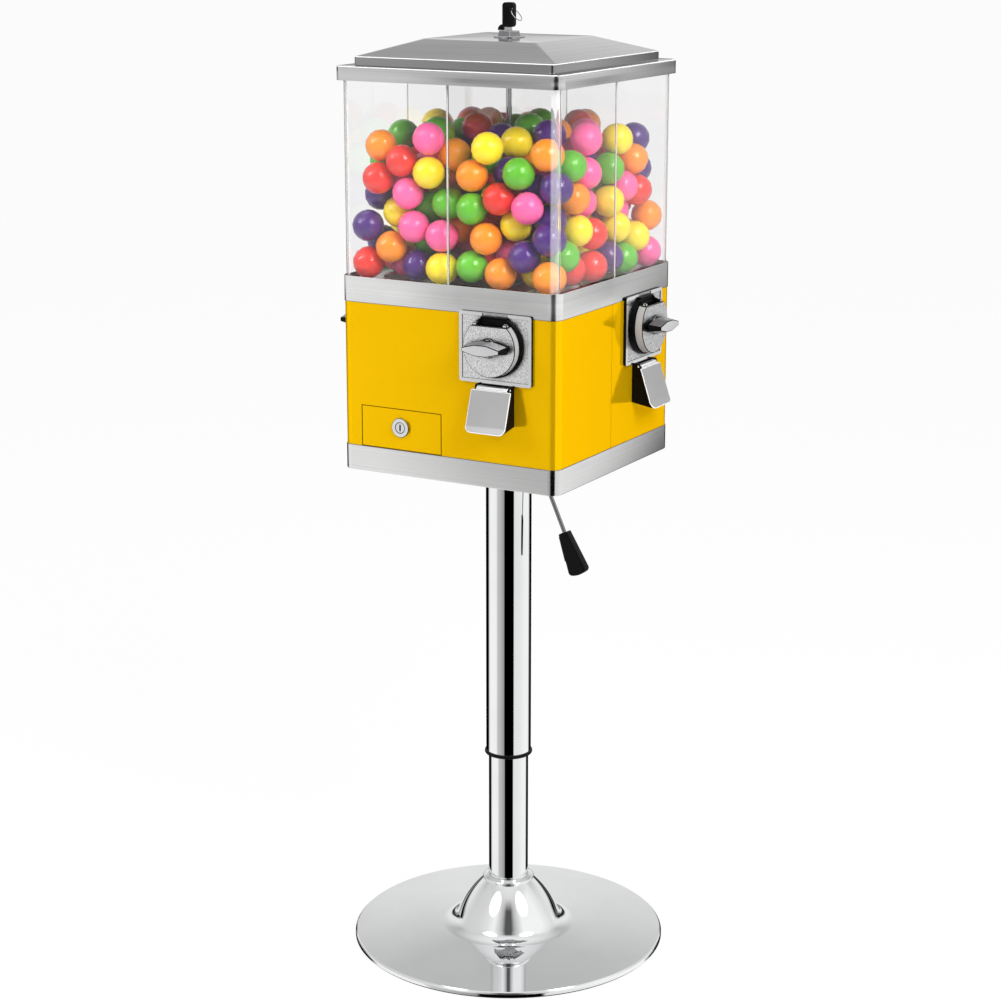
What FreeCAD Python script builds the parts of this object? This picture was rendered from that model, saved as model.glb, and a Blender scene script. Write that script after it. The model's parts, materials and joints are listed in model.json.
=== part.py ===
"""Four-sided gumball machine on an adjustable swivel stand, in millimetres, +Z up, front towards -Y."""

import FreeCAD, Part
import math
import os
import random
import re

import Sketcher

Vector = FreeCAD.Vector

# Driving dimensions of the machine. Every cell of the sheet is one of these.
SIZES = {
    # Base disc
    "base_diameter": 395.0,
    "base_sheet": 2.0,
    "rim_height": 8.5,
    "rim_round": 3.0,
    "floor_ring_height": 2.2,
    "floor_ring_width": 16.0,
    "dish_rise": 7.5,
    "dome_foot_radius": 70.0,
    "dome_top_radius": 31.0,
    "dome_top_height": 75.0,
    "dome_bulge": 4.5,
    "dome_fillet": 22.0,
    "collar_radius": 32.5,
    "collar_height": 5.5,
    "collar_bead": 3.9,
    "collar_bead_round": 1.4,
    "collar_lip": 1.0,
    "weight_gap": 0.6,
    "weight_hub_radius": 36.0,
    "weight_hub_height": 34.0,
    # Column and gas lift
    "lower_tube_diameter": 50.0,
    "lower_tube_wall": 2.0,
    "lower_tube_top": 440.0,
    "tube_foot_height": 14.0,
    "bearing_ball_diameter": 5.0,
    "bearing_ball_count": 8,
    "bearing_washer": 2.0,
    "bush_length": 40.0,
    "bush_flange": 3.0,
    "cover_tube_diameter": 56.6,
    "cover_tube_wall": 1.5,
    "cover_tube_bottom": 250.6,
    "glide_flange_radius": 30.2,
    "glide_flange_height": 4.4,
    "glide_flange_round": 1.0,
    "glide_sleeve_height": 14.0,
    "gas_cylinder_diameter": 28.0,
    "gas_cylinder_wall": 2.0,
    "gas_cylinder_bottom": 200.0,
    "gas_cylinder_cap": 18.0,
    "piston_rod_diameter": 10.0,
    "piston_shoulder": 3.0,
    "piston_level": 300.0,
    "piston_height": 16.0,
    "release_pin_diameter": 6.0,
    "release_pin_stand": 6.0,
    "release_pin_depth": 16.0,
    # Fits shared by many pieces
    "running_gap": 0.3,
    "seat_gap": 0.2,
    "cut_over": 1.0,
    # Seat plate and lever
    "seat_plate_width": 150.0,
    "seat_plate_wall": 3.0,
    "seat_hub_wall": 6.0,
    "seat_hub_length": 41.0,
    "seat_collar_height": 3.0,
    "bolt_spacing": 110.0,
    "bolt_diameter": 8.0,
    "bolt_head_diameter": 13.0,
    "bolt_head_height": 5.3,
    "bolt_tail": 2.0,
    "lever_rod_diameter": 5.0,
    "lever_drop_below_plate": 12.0,
    "lever_pivot_reach": 36.0,
    "lever_bend_reach": 37.0,
    "lever_bend_radius": 10.0,
    "lever_slope": 66.0,
    "lever_rod_length": 93.5,
    "lever_pin_diameter": 4.0,
    "lever_ear_wall": 3.0,
    "lever_ear_margin": 6.0,
    "lever_ear_spacing": 12.0,
    "grip_length": 55.0,
    "grip_overlap": 14.0,
    "grip_neck_width": 13.0,
    "grip_end_width": 26.0,
    "grip_end_bow": 3.0,
    "grip_thickness": 13.0,
    "grip_corner": 5.0,
    "grip_edge_round": 3.0,
    "grip_rib_length": 34.0,
    "grip_rib_width": 7.0,
    "grip_rib_height": 1.6,
    # Head: trims, housing and floor
    "head_bottom": 631.1,
    "trim_width": 293.4,
    "trim_wall": 0.8,
    "trim_corner": 13.0,
    "trim_return": 9.0,
    "lower_trim_height": 30.6,
    "housing_height": 173.4,
    "upper_trim_height": 30.7,
    "sheet_wall": 1.2,
    "seam_shift": 10.6,
    "seam_gap": 0.8,
    "floor_inset": 8.0,
    "floor_wall": 2.0,
    # Hopper
    "hopper_wall": 3.0,
    "hopper_drop": 5.3,
    "hopper_mouth_radius": 58.0,
    "tongue_width": 44.0,
    "tongue_reach": 50.0,
    "pane_width": 287.0,
    "pane_wall": 3.0,
    "pane_corner": 9.0,
    "pane_joint": 1.0,
    "pane_exposed": 227.7,
    "divider_wall": 3.0,
    "divider_top_gap": 12.0,
    "center_rod_diameter": 8.0,
    "ball_diameter": 38.0,
    "ball_gap": 0.1,
    "ball_fill_height": 186.0,
    "ball_packing": 0.475,
    # Lid and lock
    "lid_width": 300.0,
    "lid_corner": 12.0,
    "lid_wall": 1.2,
    "lid_rim_height": 16.5,
    "lid_step": 17.0,
    "lid_tier_height": 10.0,
    "lid_tier_corner": 6.0,
    "lid_roof_height": 19.0,
    "lid_top_width": 150.0,
    "lock_washer_radius": 18.5,
    "lock_washer_wall": 1.2,
    "lock_body_flats": 27.0,
    "lock_body_height": 7.3,
    "lock_body_draft": 14.0,
    "lock_barrel_radius": 10.0,
    "lock_barrel_depth": 16.0,
    "lock_plug_radius": 6.0,
    "lock_cam_length": 34.0,
    "lock_cam_width": 10.0,
    "lock_cam_wall": 2.5,
    "keeper_radius": 21.0,
    "keeper_height": 12.0,
    "keeper_wall": 2.0,
    "keeper_clearance": 2.0,
    "keeper_stem_radius": 4.5,
    "key_blade_width": 7.0,
    "key_blade_wall": 2.2,
    "key_blade_show": 4.5,
    "key_blade_depth": 12.0,
    "key_head_width": 15.0,
    "key_head_height": 28.5,
    "key_head_wall": 7.0,
    "key_head_round": 4.0,
    "key_lobe_width": 6.0,
    "key_lobe_belly": 4.3,
    "key_lobe_root": 2.4,
    "key_lobe_rise": 3.0,
    "key_lobe_drop": 3.8,
    "key_hole_radius": 2.2,
    "key_hole_inset": 3.4,
    "key_hole_drop": 7.5,
    "key_ring_radius": 8.2,
    "key_ring_wire": 1.2,
    "key_ring_lean": 40.0,
    # Coin mechanism and dispensing wheel of each side
    "unit_offset": 66.7,
    "dial_height_in_housing": 138.8,
    "coin_plate_width": 95.5,
    "coin_plate_height": 82.5,
    "coin_plate_above_dial": 38.0,
    "coin_plate_wall": 3.0,
    "coin_plate_corner": 3.0,
    "coin_plate_rim": 4.0,
    "coin_plate_field_depth": 0.8,
    "coin_collar_radius": 36.5,
    "coin_collar_height": 4.5,
    "coin_slot_width": 34.0,
    "coin_boss_radius": 14.0,
    "coin_boss_depth": 12.0,
    "dial_radius": 34.3,
    "dial_back_wall": 4.0,
    "dial_front_wall": 6.5,
    "dial_flat": 25.0,
    "dial_horn_width": 5.5,
    "dial_horn_height": 6.0,
    "dial_horn_depth": 4.5,
    "dial_skin": 2.0,
    "grip_bar_length": 54.0,
    "grip_bar_middle": 18.0,
    "grip_bar_end": 8.5,
    "grip_bar_waist": 16.0,
    "grip_bar_depth": 16.0,
    "grip_bar_draft": 9.0,
    "grip_neck_radius": 11.0,
    "grip_neck_height": 4.0,
    "drive_shaft_radius": 6.0,
    "pinion_teeth": 8,
    "pinion_pitch_radius": 15.0,
    "drive_ratio": 4,
    "tooth_half_depth": 3.0,
    "tooth_root_width": 5.2,
    "tooth_tip_width": 2.8,
    "tooth_tip_gap": 0.5,
    "crown_tooth_length": 5.5,
    "pinion_width": 8.0,
    "wheel_height": 38.0,
    "wheel_pocket_radius": 20.2,
    "wheel_pocket_pitch": 32.0,
    "wheel_pockets": 4,
    "wheel_spindle_radius": 5.0,
    "wheel_roof": 6.0,
    "tray_wall": 2.0,
    "tray_floor": 2.5,
    "tray_gap": 0.8,
    # Chute and flap of each side
    "chute_bore": 42.0,
    "chute_wall": 2.0,
    "chute_roof_height": 766.0,
    "chute_mouth_top": 753.4,
    "chute_mouth_bottom": 709.4,
    "chute_fall": 45.0,
    "chute_lip_drop": 3.0,
    "chute_flange": 6.0,
    "hinge_out": 8.0,
    "hinge_height": 751.6,
    "hinge_pin_radius": 1.5,
    "hinge_ear": 3.2,
    "flap_tilt": 18.0,
    "flap_width": 53.0,
    "flap_length": 54.0,
    "flap_wall": 1.5,
    "flap_offset": 3.2,
    "flap_lip_length": 9.0,
    "flap_lip_out": 1.6,
    "flap_corner": 8.0,
    "flap_knuckle_radius": 2.6,
    "flap_top_drop": 3.0,
    "flap_overhang": 2.0,
    # Cash drawer
    "drawer_left": 119.5,
    "drawer_right": 8.0,
    "drawer_opening_height": 50.2,
    "drawer_gap": 0.6,
    "drawer_depth": 192.0,
    "drawer_wall": 1.2,
    "drawer_side_inset": 3.0,
    "drawer_top_inset": 5.0,
    "runner_wall": 1.5,
    "drawer_lock_height": 27.9,
    "drawer_lock_bezel_radius": 11.7,
    "drawer_lock_bezel_height": 3.0,
    "drawer_lock_barrel_depth": 9.0,
    "drawer_cam_reach": 31.0,
    "keyhole_height": 8.0,
    "keyhole_width": 2.0,
    "keyhole_depth": 10.0,
}

# Places and sizes that follow from the driving dimensions.
DERIVED = {
    "base_radius": "base_diameter / 2",
    "dome_foot_height": "rim_height + dish_rise",
    "dome_run": "dome_foot_radius - dome_top_radius",
    "dome_drop": "dome_top_height - dome_foot_height",
    "dome_chord": "sqrt(dome_run * dome_run + dome_drop * dome_drop)",
    "dome_mid_radius": "(dome_top_radius + dome_foot_radius) / 2 + dome_bulge * dome_drop / dome_chord",
    "dome_mid_height": "(dome_top_height + dome_foot_height) / 2 + dome_bulge * dome_run / dome_chord",
    "lower_tube_radius": "lower_tube_diameter / 2",
    "lower_tube_bore": "lower_tube_radius - lower_tube_wall",
    "weight_floor": "floor_ring_height",
    "tube_socket_floor": "weight_floor + base_sheet",
    "bearing_floor": "tube_socket_floor + tube_foot_height",
    "bearing_race": "(piston_rod_diameter / 2 + lower_tube_bore) / 2",
    "bearing_top": "bearing_floor + 2 * bearing_washer + bearing_ball_diameter",
    "cover_tube_radius": "cover_tube_diameter / 2",
    "cover_tube_bore": "cover_tube_radius - cover_tube_wall",
    "gas_cylinder_radius": "gas_cylinder_diameter / 2",
    "floor_bottom": "head_bottom + floor_inset",
    "floor_top": "floor_bottom + floor_wall",
    "seat_plate_bottom": "floor_bottom - seat_plate_wall",
    "seat_hub_bottom": "seat_plate_bottom - seat_hub_length",
    "lever_height": "seat_plate_bottom - lever_drop_below_plate",
    "lever_curve_out": "lever_bend_reach + lever_bend_radius * sin(lever_slope / 2)",
    "lever_curve_height": "lever_height - lever_bend_radius * (1 - cos(lever_slope / 2))",
    "lever_bend_out": "lever_bend_reach + lever_bend_radius * sin(lever_slope)",
    "lever_bend_height": "lever_height - lever_bend_radius * (1 - cos(lever_slope))",
    "lever_end_out": "lever_bend_out + lever_rod_length * cos(lever_slope)",
    "lever_end_height": "lever_bend_height - lever_rod_length * sin(lever_slope)",
    "gas_cylinder_top": "lever_height - lever_rod_diameter / 2 - seat_gap - release_pin_stand",
    "cover_tube_top": "gas_cylinder_top - seat_collar_height",
    "trim_half": "trim_width / 2",
    "trim_inner": "trim_half - trim_wall",
    "shell_half": "trim_inner",
    "shell_inner": "shell_half - sheet_wall",
    "shell_corner": "trim_corner - trim_wall",
    "lower_trim_top": "head_bottom + lower_trim_height",
    "upper_trim_bottom": "lower_trim_top + housing_height",
    "upper_trim_top": "upper_trim_bottom + upper_trim_height",
    "hopper_top": "upper_trim_top - hopper_drop",
    "hopper_bottom": "hopper_top - hopper_wall",
    "pane_half": "pane_width / 2",
    "pane_inner": "pane_half - pane_wall",
    "lid_bottom": "upper_trim_top + pane_exposed",
    "lid_ledge": "lid_bottom + lid_rim_height",
    "lid_tier_top": "lid_ledge + lid_tier_height",
    "lid_top": "lid_tier_top + lid_roof_height",
    "lid_half": "lid_width / 2",
    "lid_tier_half": "lid_half - lid_step",
    "pane_top": "lid_ledge - lid_wall - seat_gap",
    "lock_top": "lid_top + lock_body_height",
    "lock_bottom": "lid_top - lock_barrel_depth",
    "keeper_top": "lock_bottom - keeper_clearance",
    "keeper_bottom": "keeper_top - keeper_height",
    "cam_top": "keeper_top - keeper_wall - keeper_clearance",
    "cam_bottom": "cam_top - lock_cam_wall",
    "key_head_bottom": "lock_top + key_blade_show",
    "key_hole_out": "key_head_width / 2 - key_hole_inset",
    "key_hole_height": "key_head_bottom + key_head_height - key_hole_drop",
    "key_ring_bore": "key_ring_radius - key_ring_wire / 2",
    "key_ring_reach": "sqrt(key_ring_bore * key_ring_bore - key_head_wall * key_head_wall / 4)",
    "key_ring_throw": "key_hole_radius + key_ring_reach",
    "dial_height": "lower_trim_top + dial_height_in_housing",
    "coin_plate_top": "dial_height + coin_plate_above_dial",
    "coin_plate_bottom": "coin_plate_top - coin_plate_height",
    "coin_field": "trim_half + seat_gap + coin_plate_wall - coin_plate_field_depth",
    "dial_back": "coin_field + coin_collar_height + running_gap",
    "dial_middle": "dial_back + dial_back_wall",
    "dial_front": "dial_middle + dial_front_wall",
    "shaft_front": "dial_front - dial_skin",
    "crown_radius": "pinion_pitch_radius * drive_ratio",
    "crown_inner": "crown_radius - crown_tooth_length / 2",
    "wheel_radius": "crown_radius + crown_tooth_length / 2",
    "pinion_tip": "pinion_pitch_radius + tooth_half_depth",
    "pinion_root": "pinion_pitch_radius - tooth_half_depth - tooth_tip_gap",
    "wheel_bottom": "dial_height + pinion_tip + tooth_tip_gap",
    "wheel_top": "wheel_bottom + wheel_height",
    "crown_tip": "dial_height + pinion_root + tooth_tip_gap",
    "pinion_front": "unit_offset + crown_radius + pinion_width / 2",
    "pinion_back": "unit_offset + crown_radius - pinion_width / 2",
    "tray_top": "wheel_bottom - running_gap",
    "tray_bottom": "tray_top - tray_floor",
    "trough_floor": "crown_tip - tray_gap",
    "trough_inner": "crown_inner - tray_gap",
    "trough_outer": "wheel_radius + tray_gap",
    "chute_axis": "unit_offset + wheel_pocket_pitch",
    "chute_back": "chute_axis - chute_bore / 2",
    "chute_front": "chute_axis + chute_bore / 2",
    "chute_top": "trough_floor - tray_wall - seat_gap",
    "chute_half": "chute_bore / 2 + chute_wall",
    "flap_face": "flap_offset + flap_wall",
    "cheek_offset": "flap_offset - 2 * running_gap",
    "cheek_length": "flap_length - flap_overhang",
    "cheek_top_out": "hinge_out + cheek_offset * cos(flap_tilt) - hinge_ear * sin(flap_tilt)",
    "cheek_top": "hinge_height + cheek_offset * sin(flap_tilt) + hinge_ear * cos(flap_tilt)",
    "cheek_bottom_out": "hinge_out + cheek_offset * cos(flap_tilt) + cheek_length * sin(flap_tilt)",
    "cheek_bottom": "hinge_height + cheek_offset * sin(flap_tilt) - cheek_length * cos(flap_tilt)",
    "drawer_top": "lower_trim_top + drawer_opening_height",
    "drawer_middle": "(drawer_left + drawer_right) / 2",
    "drawer_lock_z": "lower_trim_top + drawer_lock_height",
    "drawer_floor": "lower_trim_top + drawer_gap + drawer_wall",
    "drawer_box_top": "drawer_top - drawer_top_inset",
}

SIDES = ("front", "right", "back", "left")
BALL_COLOURS = ("red", "orange", "yellow", "green", "purple", "pink")

doc = FreeCAD.newDocument("GumballMachine")
sheet = doc.addObject("Spreadsheet::Sheet", "Sizes")
for row, (alias, number) in enumerate(SIZES.items(), start=1):
    sheet.set(f"A{row}", alias)
    sheet.set(f"B{row}", str(number))
    sheet.setAlias(f"B{row}", alias)
doc.recompute()


def formula(text):
    """Spell out a formula of size names as references to the sheet's cells."""
    def swap(match):
        word = match.group(0)
        if word in DERIVED:
            return f"({formula(DERIVED[word])})"
        return f"Sizes.{word}" if word in SIZES else word
    return re.sub(r"[A-Za-z_]+", swap, str(text))


def size(text):
    """Present value of a formula, for the first guess of a sketch and for placing copies."""
    return float(sheet.evalExpression(formula(text)))


def bind(target, prop, text):
    """Tie a property to the sheet."""
    target.setExpression(prop, formula(text))


def new_body(label):
    """Empty body with its name."""
    body = doc.addObject("PartDesign::Body", label)
    body.Label = label
    return body


def sketch_on(body, role, at=("0", "0", "0")):
    """Sketch on one of the body's own planes, its origin moved by the formulas in at."""
    sketch = body.newObject("Sketcher::SketchObject", "Sketch")
    plane = next(item for item in body.Origin.OriginFeatures if item.Role == role)
    sketch.AttachmentSupport = (plane, [""])
    sketch.MapMode = "FlatFace"
    for axis, text in zip("xyz", at):
        bind(sketch, f"AttachmentOffset.Base.{axis}", text)
    return sketch


def hold_point(sketch, geometry, end, x, y):
    """Fix one end of a sketch line by two bound distances from the sketch's origin."""
    for kind, text in (("DistanceX", x), ("DistanceY", y)):
        index = sketch.addConstraint(Sketcher.Constraint(kind, geometry, end, size(text)))
        bind(sketch, f"Constraints[{index}]", text)


def outline(sketch, points):
    """Closed run through (x, y) points; (x, y, mx, my) starts an arc through (mx, my)."""
    spots = [Vector(size(point[0]), size(point[1]), 0) for point in points]
    runs = []
    for index, point in enumerate(points):
        start = spots[index]
        finish = spots[(index + 1) % len(points)]
        if len(point) == 2:
            runs.append((sketch.addGeometry(Part.LineSegment(start, finish), False), 1, 2))
            continue
        middle = Vector(size(point[2]), size(point[3]), 0)
        arc = sketch.addGeometry(Part.Arc(start, middle, finish), False)
        first = sketch.getPoint(arc, 1)
        last = sketch.getPoint(arc, 2)
        forward = first.distanceToPoint(start) < last.distanceToPoint(start)
        runs.append((arc, 1, 2) if forward else (arc, 2, 1))
        mark = sketch.addGeometry(Part.Point(middle), True)
        hold_point(sketch, mark, 1, point[2], point[3])
        sketch.addConstraint(Sketcher.Constraint("PointOnObject", mark, 1, arc))
    for index, point in enumerate(points):
        before = runs[index - 1]
        after = runs[index]
        sketch.addConstraint(Sketcher.Constraint("Coincident", before[0], before[2], after[0], after[1]))
        hold_point(sketch, after[0], after[1], point[0], point[1])


def open_run(sketch, points):
    """Open line through points; (x, y, mx, my) starts an arc through (mx, my)."""
    previous = None
    for index in range(len(points) - 1):
        point = points[index]
        start = Vector(size(point[0]), size(point[1]), 0)
        finish = Vector(size(points[index + 1][0]), size(points[index + 1][1]), 0)
        if len(point) == 2:
            run = (sketch.addGeometry(Part.LineSegment(start, finish), False), 1, 2)
        else:
            middle = Vector(size(point[2]), size(point[3]), 0)
            arc = sketch.addGeometry(Part.Arc(start, middle, finish), False)
            forward = sketch.getPoint(arc, 1).distanceToPoint(start) < 1e-6
            run = (arc, 1, 2) if forward else (arc, 2, 1)
            mark = sketch.addGeometry(Part.Point(middle), True)
            hold_point(sketch, mark, 1, point[2], point[3])
            sketch.addConstraint(Sketcher.Constraint("PointOnObject", mark, 1, arc))
        hold_point(sketch, run[0], run[1], point[0], point[1])
        if previous:
            sketch.addConstraint(Sketcher.Constraint("Coincident", previous[0], previous[2], run[0], run[1]))
        previous = run
    hold_point(sketch, previous[0], previous[2], points[-1][0], points[-1][1])


def rectangle(sketch, left, bottom, right, top):
    """Closed rectangle between four formulas."""
    outline(sketch, [(left, bottom), (right, bottom), (right, top), (left, top)])


def rounded_rectangle(sketch, left, bottom, right, top, radius):
    """Closed rectangle with four equal rounded corners."""
    near = f"({radius}) * (1 - sqrt(0.5))"
    outline(sketch, [
        (f"{left} + {radius}", bottom),
        (f"{right} - ({radius})", bottom, f"{right} - {near}", f"{bottom} + {near}"),
        (right, f"{bottom} + {radius}"),
        (right, f"{top} - ({radius})", f"{right} - {near}", f"{top} - {near}"),
        (f"{right} - ({radius})", top),
        (f"{left} + {radius}", top, f"{left} + {near}", f"{top} - {near}"),
        (left, f"{top} - ({radius})"),
        (left, f"{bottom} + {radius}", f"{left} + {near}", f"{bottom} + {near}"),
    ])


def rounded_square(sketch, half, radius):
    """Rounded square about the sketch's origin."""
    rounded_rectangle(sketch, f"-({half})", f"-({half})", f"({half})", f"({half})", radius)


def hexagon(sketch, flats):
    """Regular hexagon about the sketch's origin, by its width across flats."""
    corner = f"({flats}) / sqrt(3)"
    outline(sketch, [
        (f"{corner} * cos({60 * step})", f"{corner} * sin({60 * step})") for step in range(6)
    ])


def circle(sketch, radius, x="0", y="0"):
    """Circle with a bound radius and centre."""
    spot = Vector(size(x), size(y), 0)
    ring = sketch.addGeometry(Part.Circle(spot, Vector(0, 0, 1), size(radius)), False)
    index = sketch.addConstraint(Sketcher.Constraint("Radius", ring, size(radius)))
    bind(sketch, f"Constraints[{index}]", radius)
    hold_point(sketch, ring, 3, x, y)


def pad(body, sketch, length, reverse=False, middle=False, draft=None):
    """Add material along the sketch's normal."""
    feature = body.newObject("PartDesign::Pad", "Pad")
    feature.Profile = sketch
    bind(feature, "Length", length)
    feature.Reversed = reverse
    if middle:
        feature.SideType = "Symmetric"
    if draft:
        bind(feature, "TaperAngle", draft)
    return feature


def pocket(body, sketch, length, reverse=False, middle=False):
    """Cut against the sketch's normal, or along it when reversed."""
    feature = body.newObject("PartDesign::Pocket", "Pocket")
    feature.Profile = sketch
    bind(feature, "Length", length)
    feature.Reversed = reverse
    if middle:
        feature.SideType = "Symmetric"
    return feature


def revolve(body, sketch):
    """Full turn about the sketch's vertical axis."""
    feature = body.newObject("PartDesign::Revolution", "Revolution")
    feature.Profile = sketch
    feature.ReferenceAxis = (sketch, ["V_Axis"])
    feature.Angle = 360
    return feature


def polar(body, features, axis, count):
    """Repeat features evenly round an axis."""
    pattern = body.newObject("PartDesign::PolarPattern", "PolarPattern")
    pattern.Originals = features
    pattern.Axis = axis
    pattern.Angle = 360
    bind(pattern, "Occurrences", count)
    body.Tip = pattern
    return pattern


def round_edges(body, feature, radius, wanted):
    """Fillet the edges of a feature that the test picks."""
    doc.recompute()
    names = [f"Edge{number}" for number, edge in enumerate(feature.Shape.Edges, start=1) if wanted(edge)]
    if not names:
        raise RuntimeError(f"{body.Label}: no edge to round")
    fillet = body.newObject("PartDesign::Fillet", "Fillet")
    fillet.Base = (feature, names)
    bind(fillet, "Radius", radius)
    return fillet


def ring_edge(radius, height):
    """Test for a circular edge about Z at a radius and height."""
    def wanted(edge):
        box = edge.BoundBox
        level = abs(box.ZMin - height) < 1e-3 and abs(box.ZMax - height) < 1e-3
        return level and isinstance(edge.Curve, Part.Circle) and abs(edge.Curve.Radius - radius) < 1e-3
    return wanted


def turned(label, points):
    """Body of revolution about Z from an outline of (radius, height) formulas."""
    body = new_body(label)
    sketch = sketch_on(body, "XZ_Plane")
    outline(sketch, points)
    revolve(body, sketch)
    return body


def tube_outline(inner, outer, bottom, top):
    """Outline of a plain ring section."""
    return [(inner, bottom), (outer, bottom), (outer, top), (inner, top)]


def face_side(body, side):
    """Turn a body that is drawn on the front face to its own side."""
    body.Placement = FreeCAD.Placement(Vector(), FreeCAD.Rotation(Vector(0, 0, 1), 90 * side))
    return body


def group(label, members):
    """Several like pieces under one name."""
    compound = doc.addObject("Part::Compound", label)
    compound.Label = label
    compound.Links = members
    return compound


# Stand


def base_shell():
    """Pressed disc with a rolled rim and a bell rising to the column."""
    body = new_body("base_shell")
    sketch = sketch_on(body, "XZ_Plane")
    hole = "lower_tube_radius + seat_gap"
    outline(sketch, [
        (hole, "dome_top_height"),
        ("dome_top_radius", "dome_top_height", "dome_mid_radius", "dome_mid_height"),
        ("dome_foot_radius", "dome_foot_height"),
        ("base_radius - base_sheet", "rim_height"),
        ("base_radius", "rim_height - base_sheet"),
        ("base_radius", "floor_ring_height"),
        ("base_radius - base_sheet", "floor_ring_height"),
        ("base_radius - base_sheet", "rim_height - base_sheet"),
        ("dome_foot_radius - base_sheet", "dome_foot_height - base_sheet",
         "dome_mid_radius - base_sheet * dome_drop / dome_chord",
         "dome_mid_height - base_sheet * dome_run / dome_chord"),
        ("dome_top_radius - base_sheet", "dome_top_height - base_sheet"),
        (hole, "dome_top_height - base_sheet"),
    ])
    turn = revolve(body, sketch)
    foot = ring_edge(size("dome_foot_radius"), size("dome_foot_height"))
    flare = round_edges(body, turn, "dome_fillet", foot)
    under = ring_edge(size("dome_foot_radius - base_sheet"), size("dome_foot_height - base_sheet"))
    pressed = round_edges(body, flare, "dome_fillet + base_sheet", under)
    rim = ring_edge(size("base_radius"), size("rim_height - base_sheet"))
    round_edges(body, pressed, "rim_round", rim)
    return body


def base_weight():
    """Cast ring under the disc with the socket that the column stands in."""
    return turned("base_weight", [
        ("piston_rod_diameter", "weight_floor"),
        ("base_radius - floor_ring_width / 2", "weight_floor"),
        ("base_radius - floor_ring_width / 2", "rim_height - base_sheet - weight_gap"),
        ("dome_foot_radius + dome_fillet", "dome_foot_height - base_sheet - weight_gap - dish_rise / 4"),
        ("weight_hub_radius + dome_fillet", "dome_foot_height - base_sheet - weight_gap - dish_rise / 4"),
        ("weight_hub_radius", "weight_hub_height"),
        ("lower_tube_radius + seat_gap", "weight_hub_height"),
        ("lower_tube_radius + seat_gap", "tube_socket_floor"),
        ("piston_rod_diameter", "tube_socket_floor"),
    ])


def floor_ring():
    """Rubber ring that the base stands on."""
    inner = "base_radius - floor_ring_width"
    outer = "base_radius - base_sheet / 2"
    return turned("floor_ring", [
        (inner, "0"),
        (f"{outer} - floor_ring_height / 2", "0"),
        (outer, "floor_ring_height / 2"),
        (outer, "floor_ring_height"),
        (inner, "floor_ring_height"),
    ])


def base_collar():
    """Rounded ring that closes the joint of column and bell."""
    inner = "lower_tube_radius + seat_gap"
    return turned("base_collar", [
        (inner, "dome_top_height"),
        ("collar_radius - collar_bead_round", "dome_top_height",
         "collar_radius", "dome_top_height + collar_bead / 2"),
        ("collar_radius - collar_bead_round", "dome_top_height + collar_bead"),
        (f"{inner} + collar_lip", "dome_top_height + collar_height"),
        (inner, "dome_top_height + collar_height"),
    ])


def lower_tube():
    """Outer tube of the gas lift, fixed in the base."""
    points = tube_outline("lower_tube_bore", "lower_tube_radius", "tube_socket_floor", "lower_tube_top")
    return turned("lower_tube", points)


def tube_foot():
    """Plug at the bottom of the tube with the hole that the piston rod turns in."""
    return turned("tube_foot", tube_outline(
        "piston_rod_diameter / 2 + running_gap", "lower_tube_bore - seat_gap / 4",
        "tube_socket_floor", "bearing_floor"))


def thrust_bearing():
    """Two washers with a ring of balls between them."""
    inner = "piston_rod_diameter / 2 + running_gap"
    outer = "lower_tube_bore - running_gap"
    ball_floor = "bearing_floor + bearing_washer"
    low = turned("lower_washer", tube_outline(inner, outer, "bearing_floor", ball_floor))
    high = turned("upper_washer", tube_outline(
        inner, outer, f"{ball_floor} + bearing_ball_diameter", "bearing_top"))
    balls = []
    count = int(size("bearing_ball_count"))
    for index in range(count):
        ball = doc.addObject("Part::Sphere", "BearingBall")
        bind(ball, "Radius", "bearing_ball_diameter / 2")
        bind(ball, "Placement.Base.x", f"bearing_race * cos({index} * 360 / bearing_ball_count)")
        bind(ball, "Placement.Base.y", f"bearing_race * sin({index} * 360 / bearing_ball_count)")
        bind(ball, "Placement.Base.z", f"{ball_floor} + bearing_ball_diameter / 2")
        balls.append(ball)
    return group("thrust_bearing", [low, high] + balls)


def guide_bush():
    """Flanged plastic bush at the top of the tube, round the gas cylinder."""
    inner = "gas_cylinder_radius + running_gap"
    return turned("guide_bush", [
        (inner, "lower_tube_top - bush_length"),
        ("lower_tube_bore - seat_gap / 4", "lower_tube_top - bush_length"),
        ("lower_tube_bore - seat_gap / 4", "lower_tube_top"),
        ("lower_tube_radius", "lower_tube_top"),
        ("lower_tube_radius", "lower_tube_top + bush_flange"),
        (inner, "lower_tube_top + bush_flange"),
    ])


def piston_rod():
    """Rod that turns on the bearing, with the piston inside the cylinder."""
    rod = "piston_rod_diameter / 2"
    shoulder = "piston_rod_diameter / 2 + piston_shoulder"
    return turned("piston_rod", [
        ("0", "tube_socket_floor"),
        (rod, "tube_socket_floor"),
        (rod, "bearing_top + seat_gap"),
        (shoulder, "bearing_top + seat_gap"),
        (shoulder, "bearing_top + bearing_washer"),
        (rod, "bearing_top + bearing_washer"),
        (rod, "piston_level"),
        ("gas_cylinder_radius - gas_cylinder_wall - running_gap", "piston_level"),
        ("gas_cylinder_radius - gas_cylinder_wall - running_gap", "piston_level + piston_height"),
        ("0", "piston_level + piston_height"),
    ])


# Column top and seat


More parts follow.
